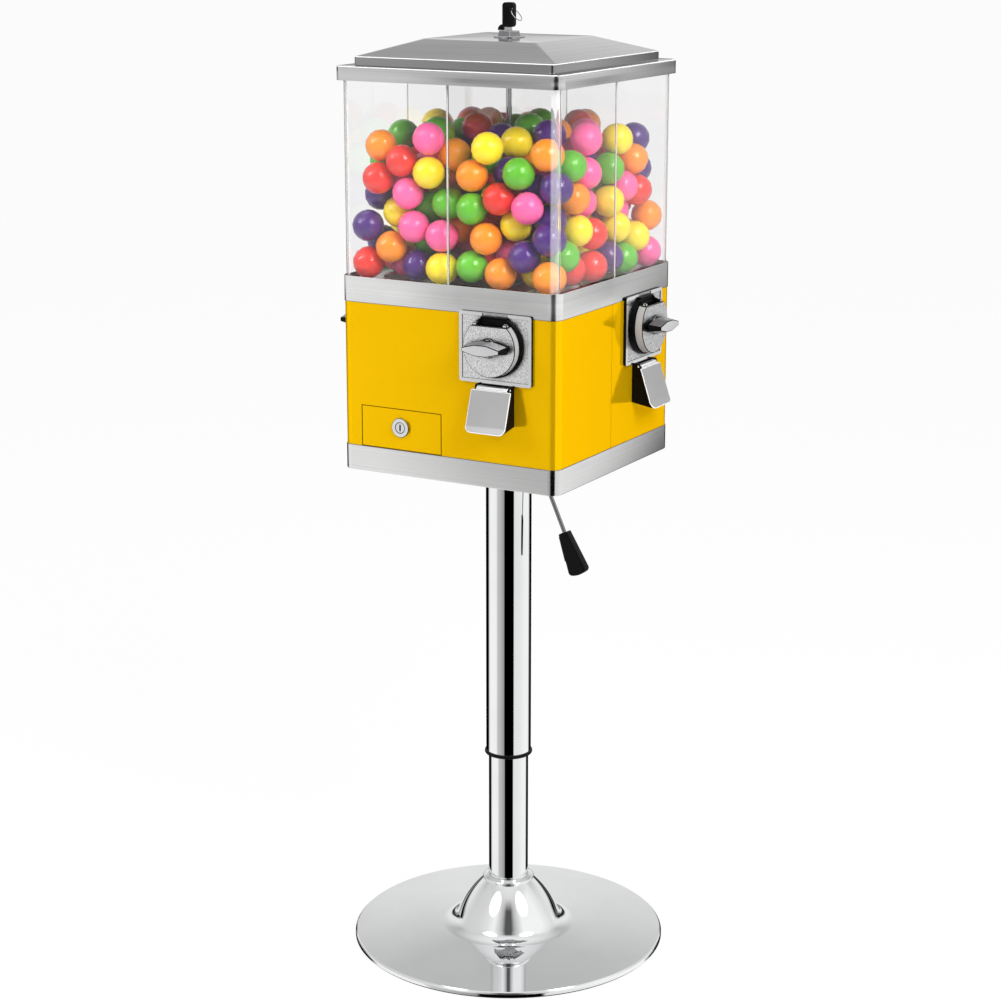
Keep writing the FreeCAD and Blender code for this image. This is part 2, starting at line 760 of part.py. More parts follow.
def gas_cylinder():
    """Cylinder that slides on the piston, with the bore of its release pin on top."""
    inner = "gas_cylinder_radius - gas_cylinder_wall"
    return turned("gas_cylinder", [
        ("piston_rod_diameter / 2 + running_gap", "gas_cylinder_bottom"),
        ("gas_cylinder_radius", "gas_cylinder_bottom"),
        ("gas_cylinder_radius", "gas_cylinder_top"),
        ("release_pin_diameter / 2 + running_gap", "gas_cylinder_top"),
        ("release_pin_diameter / 2 + running_gap", "gas_cylinder_top - gas_cylinder_cap"),
        (inner, "gas_cylinder_top - gas_cylinder_cap"),
        (inner, "gas_cylinder_bottom + gas_cylinder_cap / 2"),
        ("piston_rod_diameter / 2 + running_gap", "gas_cylinder_bottom + gas_cylinder_cap / 2"),
    ])


def release_pin():
    """Valve pin that the lever presses."""
    body = new_body("release_pin")
    sketch = sketch_on(body, "XY_Plane", ("0", "0", "gas_cylinder_top + release_pin_stand"))
    circle(sketch, "release_pin_diameter / 2")
    pad(body, sketch, "release_pin_depth", reverse=True)
    return body


def cover_tube():
    """Wide tube that hides the lift."""
    points = tube_outline("cover_tube_bore", "cover_tube_radius", "cover_tube_bottom", "cover_tube_top")
    return turned("cover_tube", points)


def glide_ring():
    """Ring that closes the lower end of the cover tube and glides on the lower tube."""
    inner = "lower_tube_radius + running_gap"
    return turned("glide_ring", [
        (inner, "cover_tube_bottom - glide_flange_height"),
        ("glide_flange_radius - glide_flange_round", "cover_tube_bottom - glide_flange_height",
         "glide_flange_radius", "cover_tube_bottom - glide_flange_height / 2"),
        ("glide_flange_radius - glide_flange_round", "cover_tube_bottom"),
        ("cover_tube_bore - seat_gap / 2", "cover_tube_bottom"),
        ("cover_tube_bore - seat_gap / 2", "cover_tube_bottom + glide_sleeve_height"),
        (inner, "cover_tube_bottom + glide_sleeve_height"),
    ])


def seat_plate():
    """Plate with the hub that grips the cylinder and the ears that carry the lever."""
    body = new_body("seat_plate")
    plate = sketch_on(body, "XY_Plane", ("0", "0", "seat_plate_bottom"))
    rounded_square(plate, "seat_plate_width / 2", "bolt_head_diameter / 2")
    pad(body, plate, "seat_plate_wall")
    hub = sketch_on(body, "XZ_Plane")
    outline(hub, [
        ("gas_cylinder_radius + seat_gap / 2", "seat_hub_bottom"),
        ("cover_tube_bore - seat_gap / 2", "seat_hub_bottom"),
        ("cover_tube_bore - seat_gap / 2", "cover_tube_top"),
        ("cover_tube_radius", "cover_tube_top"),
        ("cover_tube_radius", "cover_tube_top + seat_collar_height"),
        ("gas_cylinder_radius + seat_hub_wall", "cover_tube_top + seat_collar_height"),
        ("gas_cylinder_radius + seat_hub_wall", "seat_plate_bottom"),
        ("gas_cylinder_radius + seat_gap / 2", "seat_plate_bottom"),
    ])
    revolve(body, hub)
    spread = "(lever_ear_spacing / 2 + lever_ear_wall)"
    ears = sketch_on(body, "XZ_Plane")
    rectangle(ears, "lever_pivot_reach - lever_ear_margin", "lever_height - lever_ear_margin",
              "lever_pivot_reach + lever_ear_margin", "seat_plate_bottom")
    pad(body, ears, f"2 * {spread}", middle=True)
    between = sketch_on(body, "XZ_Plane")
    rectangle(between, "0", "gas_cylinder_top",
              "lever_pivot_reach + lever_ear_margin + cut_over", "seat_plate_bottom")
    pocket(body, between, "lever_ear_spacing", middle=True)
    pivot = sketch_on(body, "XZ_Plane")
    circle(pivot, "lever_pin_diameter / 2 + running_gap", "lever_pivot_reach", "lever_height")
    pocket(body, pivot, "seat_plate_width", middle=True)
    holes = sketch_on(body, "XY_Plane", ("0", "0", "seat_plate_bottom"))
    for x, y in ((1, 1), (1, -1), (-1, -1), (-1, 1)):
        circle(holes, "bolt_diameter / 2 + running_gap",
               f"{x} * bolt_spacing / 2", f"{y} * bolt_spacing / 2")
    pocket(body, holes, "seat_plate_wall", reverse=True)
    return body


def seat_bolts():
    """Four hexagon bolts with their nuts, through the seat plate and the floor."""
    members = []
    nut_bottom = "floor_top"
    for x, y in ((1, 1), (1, -1), (-1, -1), (-1, 1)):
        body = new_body("seat_bolt")
        spot = (f"{x} * bolt_spacing / 2", f"{y} * bolt_spacing / 2")
        head = sketch_on(body, "XY_Plane", (*spot, "seat_plate_bottom"))
        hexagon(head, "bolt_head_diameter")
        pad(body, head, "bolt_head_height", reverse=True)
        shank = sketch_on(body, "XY_Plane", (*spot, "seat_plate_bottom"))
        circle(shank, "bolt_diameter / 2")
        pad(body, shank, "seat_plate_wall + floor_wall + bolt_head_height + bolt_tail")
        members.append(body)
        nut = new_body("seat_nut")
        blank = sketch_on(nut, "XY_Plane", (*spot, nut_bottom))
        hexagon(blank, "bolt_head_diameter")
        pad(nut, blank, "bolt_head_height")
        bore = sketch_on(nut, "XY_Plane", (*spot, nut_bottom))
        circle(bore, "bolt_diameter / 2 + seat_gap / 4")
        pocket(nut, bore, "bolt_head_height", reverse=True)
        members.append(nut)
    return group("seat_bolts", members)


def lever_rod():
    """Bent rod that tips on its pivot pin, over the release pin and down beside the column."""
    body = new_body("lever_rod")
    path = sketch_on(body, "XZ_Plane")
    open_run(path, [
        ("-lever_rod_diameter", "lever_height"),
        ("lever_bend_reach", "lever_height", "lever_curve_out", "lever_curve_height"),
        ("lever_bend_out", "lever_bend_height"),
        ("lever_end_out", "lever_end_height"),
    ])
    section = sketch_on(body, "YZ_Plane", ("0", "lever_height", "-lever_rod_diameter"))
    circle(section, "lever_rod_diameter / 2")
    pipe = body.newObject("PartDesign::AdditivePipe", "Pipe")
    pipe.Profile = section
    pipe.Spine = (path, ["Edge1", "Edge2", "Edge3"])
    pivot = sketch_on(body, "XZ_Plane")
    circle(pivot, "lever_pin_diameter / 2", "lever_pivot_reach", "lever_height")
    pad(body, pivot, "lever_ear_spacing + 2 * lever_ear_wall", middle=True)
    return body


def lever_grip():
    """Paddle grip pushed on the end of the rod, with a finger rib on its inner side."""
    body = new_body("lever_grip")
    plan = sketch_on(body, "XZ_Plane")
    neck = "grip_neck_width / 2"
    wide = "grip_end_width / 2"
    shoulder = "(grip_length - grip_end_bow)"
    outline(plan, [
        ("0", f"-{neck}"),
        (shoulder, f"-{wide}", "grip_length", "0"),
        (shoulder, wide),
        ("0", neck),
    ])
    slab = pad(body, plan, "grip_thickness", middle=True)
    half = size("grip_thickness / 2")

    def end_corner(edge):
        """Edge across the paddle at its free end."""
        return abs(edge.Length - 2 * half) < 1e-3 and edge.CenterOfMass.x > size("grip_length / 2")

    def broad_edge(edge):
        """Edge round one of the two broad faces."""
        return abs(abs(edge.CenterOfMass.y) - half) < 1e-3

    ends = round_edges(body, slab, "grip_corner", end_corner)
    round_edges(body, ends, "grip_edge_round", broad_edge)
    rib = sketch_on(body, "XZ_Plane")
    side = f"({neck} + ({wide} - {neck}) * grip_rib_length / {shoulder})"
    outline(rib, [
        ("grip_edge_round", "0"),
        ("grip_edge_round", f"-{neck} - grip_rib_height"),
        ("grip_rib_length", f"-{side} - grip_rib_height"),
        ("grip_rib_length + grip_rib_height", "0"),
    ])
    pad(body, rib, "grip_rib_width", middle=True)
    bore = sketch_on(body, "YZ_Plane")
    circle(bore, "lever_rod_diameter / 2 + seat_gap / 4")
    pocket(body, bore, "grip_overlap", reverse=True)
    bind(body, "Placement.Base.x", "lever_end_out - grip_overlap * cos(lever_slope)")
    bind(body, "Placement.Base.z", "lever_end_height + grip_overlap * sin(lever_slope)")
    body.Placement.Rotation = FreeCAD.Rotation(Vector(0, 1, 0), size("lever_slope"))
    return body


# Head


def trim_band(label, bottom, height):
    """Bright band bent round the head, open above and below."""
    body = new_body(label)
    outer = sketch_on(body, "XY_Plane", ("0", "0", bottom))
    rounded_square(outer, "trim_half", "trim_corner")
    rounded_square(outer, "trim_inner", "trim_corner - trim_wall")
    pad(body, outer, height)
    return body


def lower_trim():
    """Band round the floor, with a flange turned in below."""
    body = trim_band("lower_trim", "head_bottom", "lower_trim_height")
    flange = sketch_on(body, "XY_Plane", ("0", "0", "head_bottom"))
    rounded_square(flange, "trim_half", "trim_corner")
    rounded_square(flange, "trim_half - trim_return", "trim_corner - trim_wall")
    pad(body, flange, "trim_wall")
    return body


def floor_plate():
    """Floor of the head, bolted to the seat plate."""
    body = new_body("floor_plate")
    sketch = sketch_on(body, "XY_Plane", ("0", "0", "floor_bottom"))
    rounded_square(sketch, "shell_half", "shell_corner")
    for x, y in ((1, 1), (1, -1), (-1, -1), (-1, 1)):
        circle(sketch, "bolt_diameter / 2 + running_gap",
               f"{x} * bolt_spacing / 2", f"{y} * bolt_spacing / 2")
    pad(body, sketch, "floor_wall")
    return body


def housing_shell(label, side, drawer):
    """Half of the painted housing: one whole face and most of the face to its left."""
    body = new_body(label)
    plan = sketch_on(body, "XY_Plane", ("0", "0", "floor_top"))
    bend = "(shell_half - shell_corner)"
    outer = "sqrt(0.5) * shell_corner"
    inner = "sqrt(0.5) * (shell_corner - sheet_wall)"
    outline(plan, [
        ("shell_half", "-seam_shift - seam_gap / 2"),
        ("shell_inner", "-seam_shift - seam_gap / 2"),
        ("shell_inner", f"-{bend}", f"{bend} + {inner}", f"-{bend} - {inner}"),
        (bend, "-shell_inner"),
        (f"-{bend}", "-shell_inner", f"-{bend} - {inner}", f"-{bend} - {inner}"),
        ("-shell_inner", f"-{bend}"),
        ("-shell_inner", "seam_shift - seam_gap / 2"),
        ("-shell_half", "seam_shift - seam_gap / 2"),
        ("-shell_half", f"-{bend}", f"-{bend} - {outer}", f"-{bend} - {outer}"),
        (f"-{bend}", "-shell_half"),
        (bend, "-shell_half", f"{bend} + {outer}", f"-{bend} - {outer}"),
        ("shell_half", f"-{bend}"),
    ])
    pad(body, plan, "hopper_bottom - floor_top")
    reach = "3 * sheet_wall"
    front = sketch_on(body, "XZ_Plane", ("unit_offset", "0", "shell_half + sheet_wall"))
    unit_openings(front)
    pocket(body, front, reach)
    left = sketch_on(body, "YZ_Plane", ("-unit_offset", "0", "-shell_half - sheet_wall"))
    unit_openings(left)
    pocket(body, left, reach, reverse=True)
    if drawer:
        opening = sketch_on(body, "XZ_Plane", ("0", "0", "shell_half + sheet_wall"))
        rectangle(opening, "-drawer_left", "lower_trim_top", "-drawer_right", "drawer_top")
        pocket(body, opening, reach)
    return face_side(body, side)


def unit_openings(sketch):
    """Hole for the coin mechanism's boss and mouth for the chute, about the unit's centre line."""
    circle(sketch, "coin_boss_radius + running_gap", "0", "dial_height")
    rectangle(sketch, "-chute_half - running_gap", "chute_mouth_bottom - chute_wall - running_gap",
              "chute_half + running_gap", "chute_mouth_top + chute_wall + 3 * running_gap")


def hopper_plate():
    """Floor of the hopper, with a mouth over each wheel and a tongue over each outlet."""
    body = new_body("hopper_plate")
    plan = sketch_on(body, "XY_Plane", ("0", "0", "hopper_bottom"))
    rounded_square(plan, "shell_half", "shell_corner")
    circle(plan, "center_rod_diameter / 2 + running_gap")
    pad(body, plan, "hopper_wall")
    mouth = sketch_on(body, "XY_Plane", ("unit_offset", "-unit_offset", "hopper_bottom"))
    circle(mouth, "hopper_mouth_radius")
    cut = pocket(body, mouth, "hopper_wall", reverse=True)
    tongue = sketch_on(body, "XY_Plane", ("unit_offset", "-unit_offset", "hopper_bottom"))
    rectangle(tongue, "-tongue_width / 2", "-hopper_mouth_radius - hopper_wall",
              "tongue_width / 2", "-hopper_mouth_radius + tongue_reach")
    cover = pad(body, tongue, "hopper_wall")
    polar(body, [cut, cover], (plan, ["N_Axis"]), "4")
    return body


def clear_panes():
    """Four clear panes, each bent round one corner of the hopper."""
    members = []
    bend = "(pane_half - pane_corner)"
    outer = "sqrt(0.5) * pane_corner"
    inner = "sqrt(0.5) * (pane_corner - pane_wall)"
    for side in range(4):
        body = new_body("pane")
        plan = sketch_on(body, "XY_Plane", ("0", "0", "hopper_top"))
        outline(plan, [
            ("pane_joint / 2", "-pane_half"),
            (bend, "-pane_half", f"{bend} + {outer}", f"-{bend} - {outer}"),
            ("pane_half", f"-{bend}"),
            ("pane_half", "-pane_joint / 2"),
            ("pane_inner", "-pane_joint / 2"),
            ("pane_inner", f"-{bend}", f"{bend} + {inner}", f"-{bend} - {inner}"),
            (bend, "-pane_inner"),
            ("pane_joint / 2", "-pane_inner"),
        ])
        pad(body, plan, "pane_top - hopper_top")
        members.append(face_side(body, side))
    return group("clear_panes", members)


def dividers():
    """Four clear partitions between the compartments, from the centre rod to the panes."""
    members = []
    for side in range(4):
        body = new_body("divider")
        plan = sketch_on(body, "XY_Plane", ("0", "0", "hopper_top"))
        rectangle(plan, "-divider_wall / 2", "-pane_inner + seat_gap", "divider_wall / 2",
                  "-center_rod_diameter / 2 - seat_gap")
        pad(body, plan, "pane_top - divider_top_gap - hopper_top")
        members.append(face_side(body, side))
    return group("dividers", members)


def center_rod():
    """Tie rod from the floor to the keeper that the lid's lock hooks into."""
    rod = "center_rod_diameter / 2"
    body = new_body("center_rod")
    section = sketch_on(body, "XZ_Plane")
    stem_hole = "lock_cam_width / 2 + running_gap"
    outline(section, [
        ("0", "floor_top"),
        (rod, "floor_top"),
        (rod, "keeper_bottom"),
        ("keeper_radius", "keeper_bottom"),
        ("keeper_radius", "keeper_top"),
        (stem_hole, "keeper_top"),
        (stem_hole, "keeper_top - keeper_wall"),
        ("keeper_radius - keeper_wall", "keeper_top - keeper_wall"),
        ("keeper_radius - keeper_wall", "keeper_bottom + keeper_wall"),
        ("0", "keeper_bottom + keeper_wall"),
    ])
    revolve(body, section)
    slot = sketch_on(body, "XY_Plane", ("0", "0", "keeper_top"))
    rectangle(slot, "-lock_cam_length / 2 - running_gap", f"-({stem_hole})",
              "lock_cam_length / 2 + running_gap", stem_hole)
    pocket(body, slot, "keeper_wall")
    return body


# Lid


def lid():
    """Pressed cover with a deep rim, a stepped tier and a low pyramid roof, hollow below."""
    body = new_body("lid")
    rim = sketch_on(body, "XY_Plane", ("0", "0", "lid_bottom"))
    rounded_square(rim, "lid_half", "lid_corner")
    pad(body, rim, "lid_rim_height")
    tier = sketch_on(body, "XY_Plane", ("0", "0", "lid_ledge"))
    rounded_square(tier, "lid_tier_half", "lid_tier_corner")
    pad(body, tier, "lid_tier_height")
    roof(body, "AdditiveLoft", "lid_tier_half", "lid_top_width / 2", "lid_tier_corner", "0")
    under_rim = sketch_on(body, "XY_Plane", ("0", "0", "lid_bottom"))
    rounded_square(under_rim, "lid_half - lid_wall", "lid_corner - lid_wall")
    pocket(body, under_rim, "lid_rim_height - lid_wall", reverse=True)
    under_tier = sketch_on(body, "XY_Plane", ("0", "0", "lid_bottom"))
    rounded_square(under_tier, "lid_tier_half - lid_wall", "lid_tier_corner - lid_wall")
    pocket(body, under_tier, "lid_rim_height + lid_tier_height - lid_wall", reverse=True)
    roof(body, "SubtractiveLoft", "lid_tier_half - lid_wall", "lid_top_width / 2 - lid_wall / 4",
         "lid_tier_corner - lid_wall", "lid_wall")
    hole = sketch_on(body, "XY_Plane", ("0", "0", "lid_top"))
    circle(hole, "lock_barrel_radius + seat_gap / 2")
    pocket(body, hole, "2 * lid_wall")
    return body


def roof(body, kind, low_half, high_half, corner, drop):
    """Low pyramid between two rounded squares."""
    low = sketch_on(body, "XY_Plane", ("0", "0", f"lid_tier_top - {drop}"))
    rounded_square(low, low_half, corner)
    high = sketch_on(body, "XY_Plane", ("0", "0", f"lid_top - {drop}"))
    rounded_square(high, high_half, corner)
    loft = body.newObject(f"PartDesign::{kind}", "Roof")
    loft.Profile = low
    loft.Sections = [high]
    loft.Ruled = True
    return loft


def lid_lock_body():
    """Six-sided lock on a thin washer, with a barrel through the lid."""
    body = new_body("lid_lock_body")
    washer = sketch_on(body, "XY_Plane", ("0", "0", "lid_top"))
    circle(washer, "lock_washer_radius")
    pad(body, washer, "lock_washer_wall")
    head = sketch_on(body, "XY_Plane", ("0", "0", "lid_top + lock_washer_wall"))
    hexagon(head, "lock_body_flats")
    pad(body, head, "lock_body_height - lock_washer_wall", draft="-lock_body_draft")
    barrel = sketch_on(body, "XY_Plane", ("0", "0", "lid_top"))
    circle(barrel, "lock_barrel_radius")
    pad(body, barrel, "lock_barrel_depth", reverse=True)
    bore = sketch_on(body, "XY_Plane", ("0", "0", "lock_top"))
    circle(bore, "lock_plug_radius + running_gap")
    pocket(body, bore, "lock_top - lock_bottom")
    return body


def lid_lock_plug():
    """Plug that the key turns, with the cam that hooks under the keeper."""
    body = new_body("lid_lock_plug")
    section = sketch_on(body, "XZ_Plane")
    outline(section, [
        ("0", "cam_bottom"),
        ("keeper_stem_radius", "cam_bottom"),
        ("keeper_stem_radius", "lock_bottom"),
        ("lock_plug_radius", "lock_bottom"),
        ("lock_plug_radius", "lock_top"),
        ("0", "lock_top"),
    ])
    revolve(body, section)
    cam = sketch_on(body, "XY_Plane", ("0", "0", "cam_bottom"))
    rectangle(cam, "-lock_cam_length / 2", "-lock_cam_width / 2",
              "lock_cam_length / 2", "lock_cam_width / 2")
    pad(body, cam, "lock_cam_wall")
    slot = sketch_on(body, "XY_Plane", ("0", "0", "lock_top"))
    rectangle(slot, "-key_blade_width / 2 - seat_gap", "-key_blade_wall / 2 - seat_gap",
              "key_blade_width / 2 + seat_gap", "key_blade_wall / 2 + seat_gap")
    pocket(body, slot, "key_blade_depth")
    return body


def lid_key():
    """Key left in the lid's lock, with a moulded black head."""
    body = new_body("lid_key")
    blade = sketch_on(body, "XZ_Plane")
    rectangle(blade, "-key_blade_width / 2", "lock_top - key_blade_depth + seat_gap",
              "key_blade_width / 2", "key_head_bottom")
    pad(body, blade, "key_blade_wall", middle=True)
    head = sketch_on(body, "XZ_Plane")
    rounded_rectangle(head, "-key_head_width / 2", "key_head_bottom", "key_head_width / 2",
                      "key_head_bottom + key_head_height", "key_head_round")
    pad(body, head, "key_head_wall", middle=True)
    lobe = sketch_on(body, "XZ_Plane")
    outline(lobe, [
        ("-key_head_width / 2 + key_lobe_root", "key_head_bottom - key_lobe_drop"),
        ("-key_head_width / 2 + key_lobe_root", "key_head_bottom + key_lobe_rise"),
        ("-key_head_width / 2", "key_head_bottom + key_lobe_rise",
         "-key_head_width / 2 - key_lobe_belly", "key_head_bottom + key_lobe_rise / 3"),
        ("-key_head_width / 2 - key_lobe_width", "key_head_bottom - key_lobe_drop"),
    ])
    pad(body, lobe, "key_head_wall", middle=True)
    hole = sketch_on(body, "XZ_Plane")
    circle(hole, "key_hole_radius", "key_hole_out", "key_hole_height")
    pocket(body, hole, "2 * key_head_wall", middle=True)
    return body


def key_ring():
    """Wire ring through the key's head, leaning out from the edges of its hole."""
    ring = doc.addObject("Part::Torus", "key_ring")
    ring.Label = "key_ring"
    bind(ring, "Radius1", "key_ring_radius")
    bind(ring, "Radius2", "key_ring_wire / 2")
    lean = FreeCAD.Rotation(Vector(0, 1, 0), 90 - size("key_ring_lean"))
    ring.Placement = FreeCAD.Placement(Vector(), lean)
    bind(ring, "Placement.Base.x", "key_hole_out + key_ring_throw * sin(key_ring_lean)")
    bind(ring, "Placement.Base.z", "key_hole_height - key_ring_throw * cos(key_ring_lean)")
    return ring


# Coin mechanism, wheel and chute of each side


def coin_plate(side):
    """Cast front plate with a raised rim, the dial's collar and the bearing boss behind."""
    body = new_body("coin_plate")
    at_face = ("unit_offset", "dial_height", "shell_half")
    half = "coin_plate_width / 2"
    back = sketch_on(body, "XZ_Plane", at_face)
    rounded_rectangle(back, f"-{half}", "(coin_plate_bottom - dial_height)", half,
                      "(upper_trim_bottom - seat_gap - dial_height)", "coin_plate_corner")
    pad(body, back, "trim_half - shell_half + seat_gap")
    face = sketch_on(body, "XZ_Plane", ("unit_offset", "dial_height", "trim_half + seat_gap"))
    rounded_rectangle(face, f"-{half}", "(coin_plate_bottom - dial_height)", half,
                      "(coin_plate_top - dial_height)", "coin_plate_corner")
    pad(body, face, "coin_plate_wall")
    at_rim = ("unit_offset", "dial_height", "trim_half + seat_gap + coin_plate_wall")
    field = sketch_on(body, "XZ_Plane", at_rim)
    rectangle(field, f"-{half} + coin_plate_rim", "coin_plate_bottom - dial_height + coin_plate_rim",
              f"{half} - coin_plate_rim", "coin_plate_top - dial_height - coin_plate_rim")
    pocket(body, field, "coin_plate_field_depth")
    collar = sketch_on(body, "XZ_Plane", ("unit_offset", "dial_height", "coin_field"))
    circle(collar, "coin_collar_radius")
    pad(body, collar, "coin_collar_height")
    slot = sketch_on(body, "XZ_Plane", ("unit_offset", "dial_height", "coin_field + coin_collar_height"))
    rectangle(slot, "-coin_slot_width / 2", "dial_flat",
              "coin_slot_width / 2", "coin_collar_radius + cut_over")
    pocket(body, slot, "coin_collar_height")
    boss = sketch_on(body, "XZ_Plane", at_face)
    circle(boss, "coin_boss_radius")
    pad(body, boss, "coin_boss_depth", reverse=True)
    bore = sketch_on(body, "XZ_Plane", ("unit_offset", "dial_height", "dial_back"))
    circle(bore, "drive_shaft_radius + running_gap")
    pocket(body, bore, "dial_back - shell_half + 2 * coin_boss_depth")
    return face_side(body, side)


def dial(side):
    """Round dial with a flat over the coin slot and a tapered grip bar."""
    body = new_body(f"dial_{SIDES[side]}")
    back = sketch_on(body, "XZ_Plane", ("unit_offset", "dial_height", "dial_back"))
    circle(back, "dial_radius")
    pad(body, back, "dial_back_wall")
    slot = sketch_on(body, "XZ_Plane", ("unit_offset", "dial_height", "dial_middle"))
    rectangle(slot, "-coin_slot_width / 2", "dial_flat - dial_back_wall",
              "coin_slot_width / 2", "dial_radius + cut_over")
    pocket(body, slot, "dial_back_wall")
    front = sketch_on(body, "XZ_Plane", ("unit_offset", "dial_height", "dial_middle"))
    chord = "sqrt(dial_radius * dial_radius - dial_flat * dial_flat)"
    outline(front, [
        (f"-{chord}", "dial_flat", "0", "-dial_radius"),
        (chord, "dial_flat"),
    ])
    pad(body, front, "dial_front_wall")
    horns = sketch_on(body, "XZ_Plane", ("unit_offset", "dial_height", "dial_middle"))
    inner = "coin_slot_width / 2"
    outer = "coin_slot_width / 2 + dial_horn_width"
    top = "dial_flat + dial_horn_height - dial_horn_width / 2"
    rectangle(horns, inner, "dial_flat - cut_over", outer, top)
    rectangle(horns, f"-({outer})", "dial_flat - cut_over", f"-{inner}", top)
    pad(body, horns, "dial_horn_depth")
    neck = sketch_on(body, "XZ_Plane", ("unit_offset", "dial_height", "dial_front"))
    circle(neck, "grip_neck_radius")
    pad(body, neck, "grip_neck_height")
    bar = sketch_on(body, "XZ_Plane", ("unit_offset", "dial_height", "dial_front + grip_neck_height"))
    end = "grip_bar_length / 2"
    waist = "grip_bar_waist / 2"
    outline(bar, [
        (f"-{end}", "-grip_bar_end / 2"),
        (f"-{waist}", "-grip_bar_middle / 2"),
        (waist, "-grip_bar_middle / 2"),
        (end, "-grip_bar_end / 2"),
        (end, "grip_bar_end / 2"),
        (waist, "grip_bar_middle / 2"),
        (f"-{waist}", "grip_bar_middle / 2"),
        (f"-{end}", "grip_bar_end / 2"),
    ])
    pad(body, bar, "grip_bar_depth", draft="-grip_bar_draft")
    bore = sketch_on(body, "XZ_Plane", ("unit_offset", "dial_height", "dial_back"))
    circle(bore, "drive_shaft_radius + seat_gap / 4")
    pocket(body, bore, "shaft_front - dial_back", reverse=True)
    return face_side(body, side)


def drive_pinion(side):
    """Shaft behind the dial with the pinion that drives the wheel."""
    body = new_body(f"drive_pinion_{SIDES[side]}")
    shaft = sketch_on(body, "XZ_Plane", ("unit_offset", "dial_height", "pinion_back"))
    circle(shaft, "drive_shaft_radius")
    pad(body, shaft, "shaft_front - pinion_back")
    root = sketch_on(body, "XZ_Plane", ("unit_offset", "dial_height", "pinion_back"))
    circle(root, "pinion_root")
    pad(body, root, "pinion_width")
    tooth = sketch_on(body, "XZ_Plane", ("unit_offset", "dial_height", "pinion_back"))
    turn = "180 / pinion_teeth"
    spots = [
        ("pinion_root - tooth_tip_gap", "-tooth_root_width / 2"),
        ("pinion_tip", "-tooth_tip_width / 2"),
        ("pinion_tip", "tooth_tip_width / 2"),
        ("pinion_root - tooth_tip_gap", "tooth_root_width / 2"),
    ]
    outline(tooth, [
        (f"({out}) * cos(90 + {turn}) - ({across}) * sin(90 + {turn})",
         f"({out}) * sin(90 + {turn}) + ({across}) * cos(90 + {turn})") for out, across in spots
    ])
    first = pad(body, tooth, "pinion_width")
    polar(body, [first], (root, ["N_Axis"]), "pinion_teeth")
    return face_side(body, side)


def wheel(side):
    """Dispensing wheel with pockets for the balls and crown teeth under its rim."""
    body = new_body(f"wheel_{SIDES[side]}")
    axis = ("unit_offset", "-unit_offset", "wheel_bottom")
    disc = sketch_on(body, "XY_Plane", axis)
    circle(disc, "wheel_radius")
    pad(body, disc, "wheel_height")
    hole = sketch_on(body, "XY_Plane", axis)
    circle(hole, "wheel_pocket_radius", "0", "-wheel_pocket_pitch")
    cut = pocket(body, hole, "wheel_height", reverse=True)
    polar(body, [cut], (hole, ["N_Axis"]), "wheel_pockets")
    bore = sketch_on(body, "XY_Plane", axis)
    circle(bore, "wheel_spindle_radius + running_gap")
    pocket(body, bore, "wheel_height - wheel_roof", reverse=True)
    tooth = sketch_on(body, "XZ_Plane", ("unit_offset", "0", "unit_offset + crown_inner"))
    outline(tooth, [
        ("-tooth_tip_width / 2", "crown_tip"),
        ("tooth_tip_width / 2", "crown_tip"),
        ("tooth_root_width / 2", "wheel_bottom + tooth_tip_gap"),
        ("-tooth_root_width / 2", "wheel_bottom + tooth_tip_gap"),
    ])
    first = pad(body, tooth, "crown_tooth_length - seat_gap")
    polar(body, [first], (disc, ["N_Axis"]), "pinion_teeth * drive_ratio")
    return face_side(body, side)


def wheel_tray(side):
    """Round tray under the wheel, with a spindle, a trough for the teeth and the ball's outlet."""
    body = new_body("wheel_tray")
    section = sketch_on(body, "XZ_Plane", ("unit_offset", "0", "unit_offset"))
    outline(section, [
        ("0", "tray_bottom"),
        ("trough_inner - tray_wall", "tray_bottom"),
        ("trough_inner - tray_wall", "trough_floor - tray_wall"),
        ("trough_outer + tray_wall", "trough_floor - tray_wall"),
        ("trough_outer + tray_wall", "hopper_bottom"),
        ("trough_outer", "hopper_bottom"),
        ("trough_outer", "trough_floor"),
        ("trough_inner", "trough_floor"),
        ("trough_inner", "tray_top"),
        ("wheel_spindle_radius", "tray_top"),
        ("wheel_spindle_radius", "wheel_top - wheel_roof - running_gap"),
        ("0", "wheel_top - wheel_roof - running_gap"),
    ])
    revolve(body, section)
    window = sketch_on(body, "XZ_Plane", ("unit_offset", "dial_height", "pinion_back - 2 * running_gap"))
    rectangle(window, "-pinion_tip - running_gap", "0",
              "pinion_tip + running_gap", "pinion_tip + 2 * tooth_tip_gap")
    pocket(body, window, "pinion_width + trough_outer", reverse=True)
    outlet = sketch_on(body, "XY_Plane", ("unit_offset", "-unit_offset", "tray_top"))
    circle(outlet, "wheel_pocket_radius", "0", "-wheel_pocket_pitch")
    pocket(body, outlet, "tray_floor")
    return face_side(body, side)


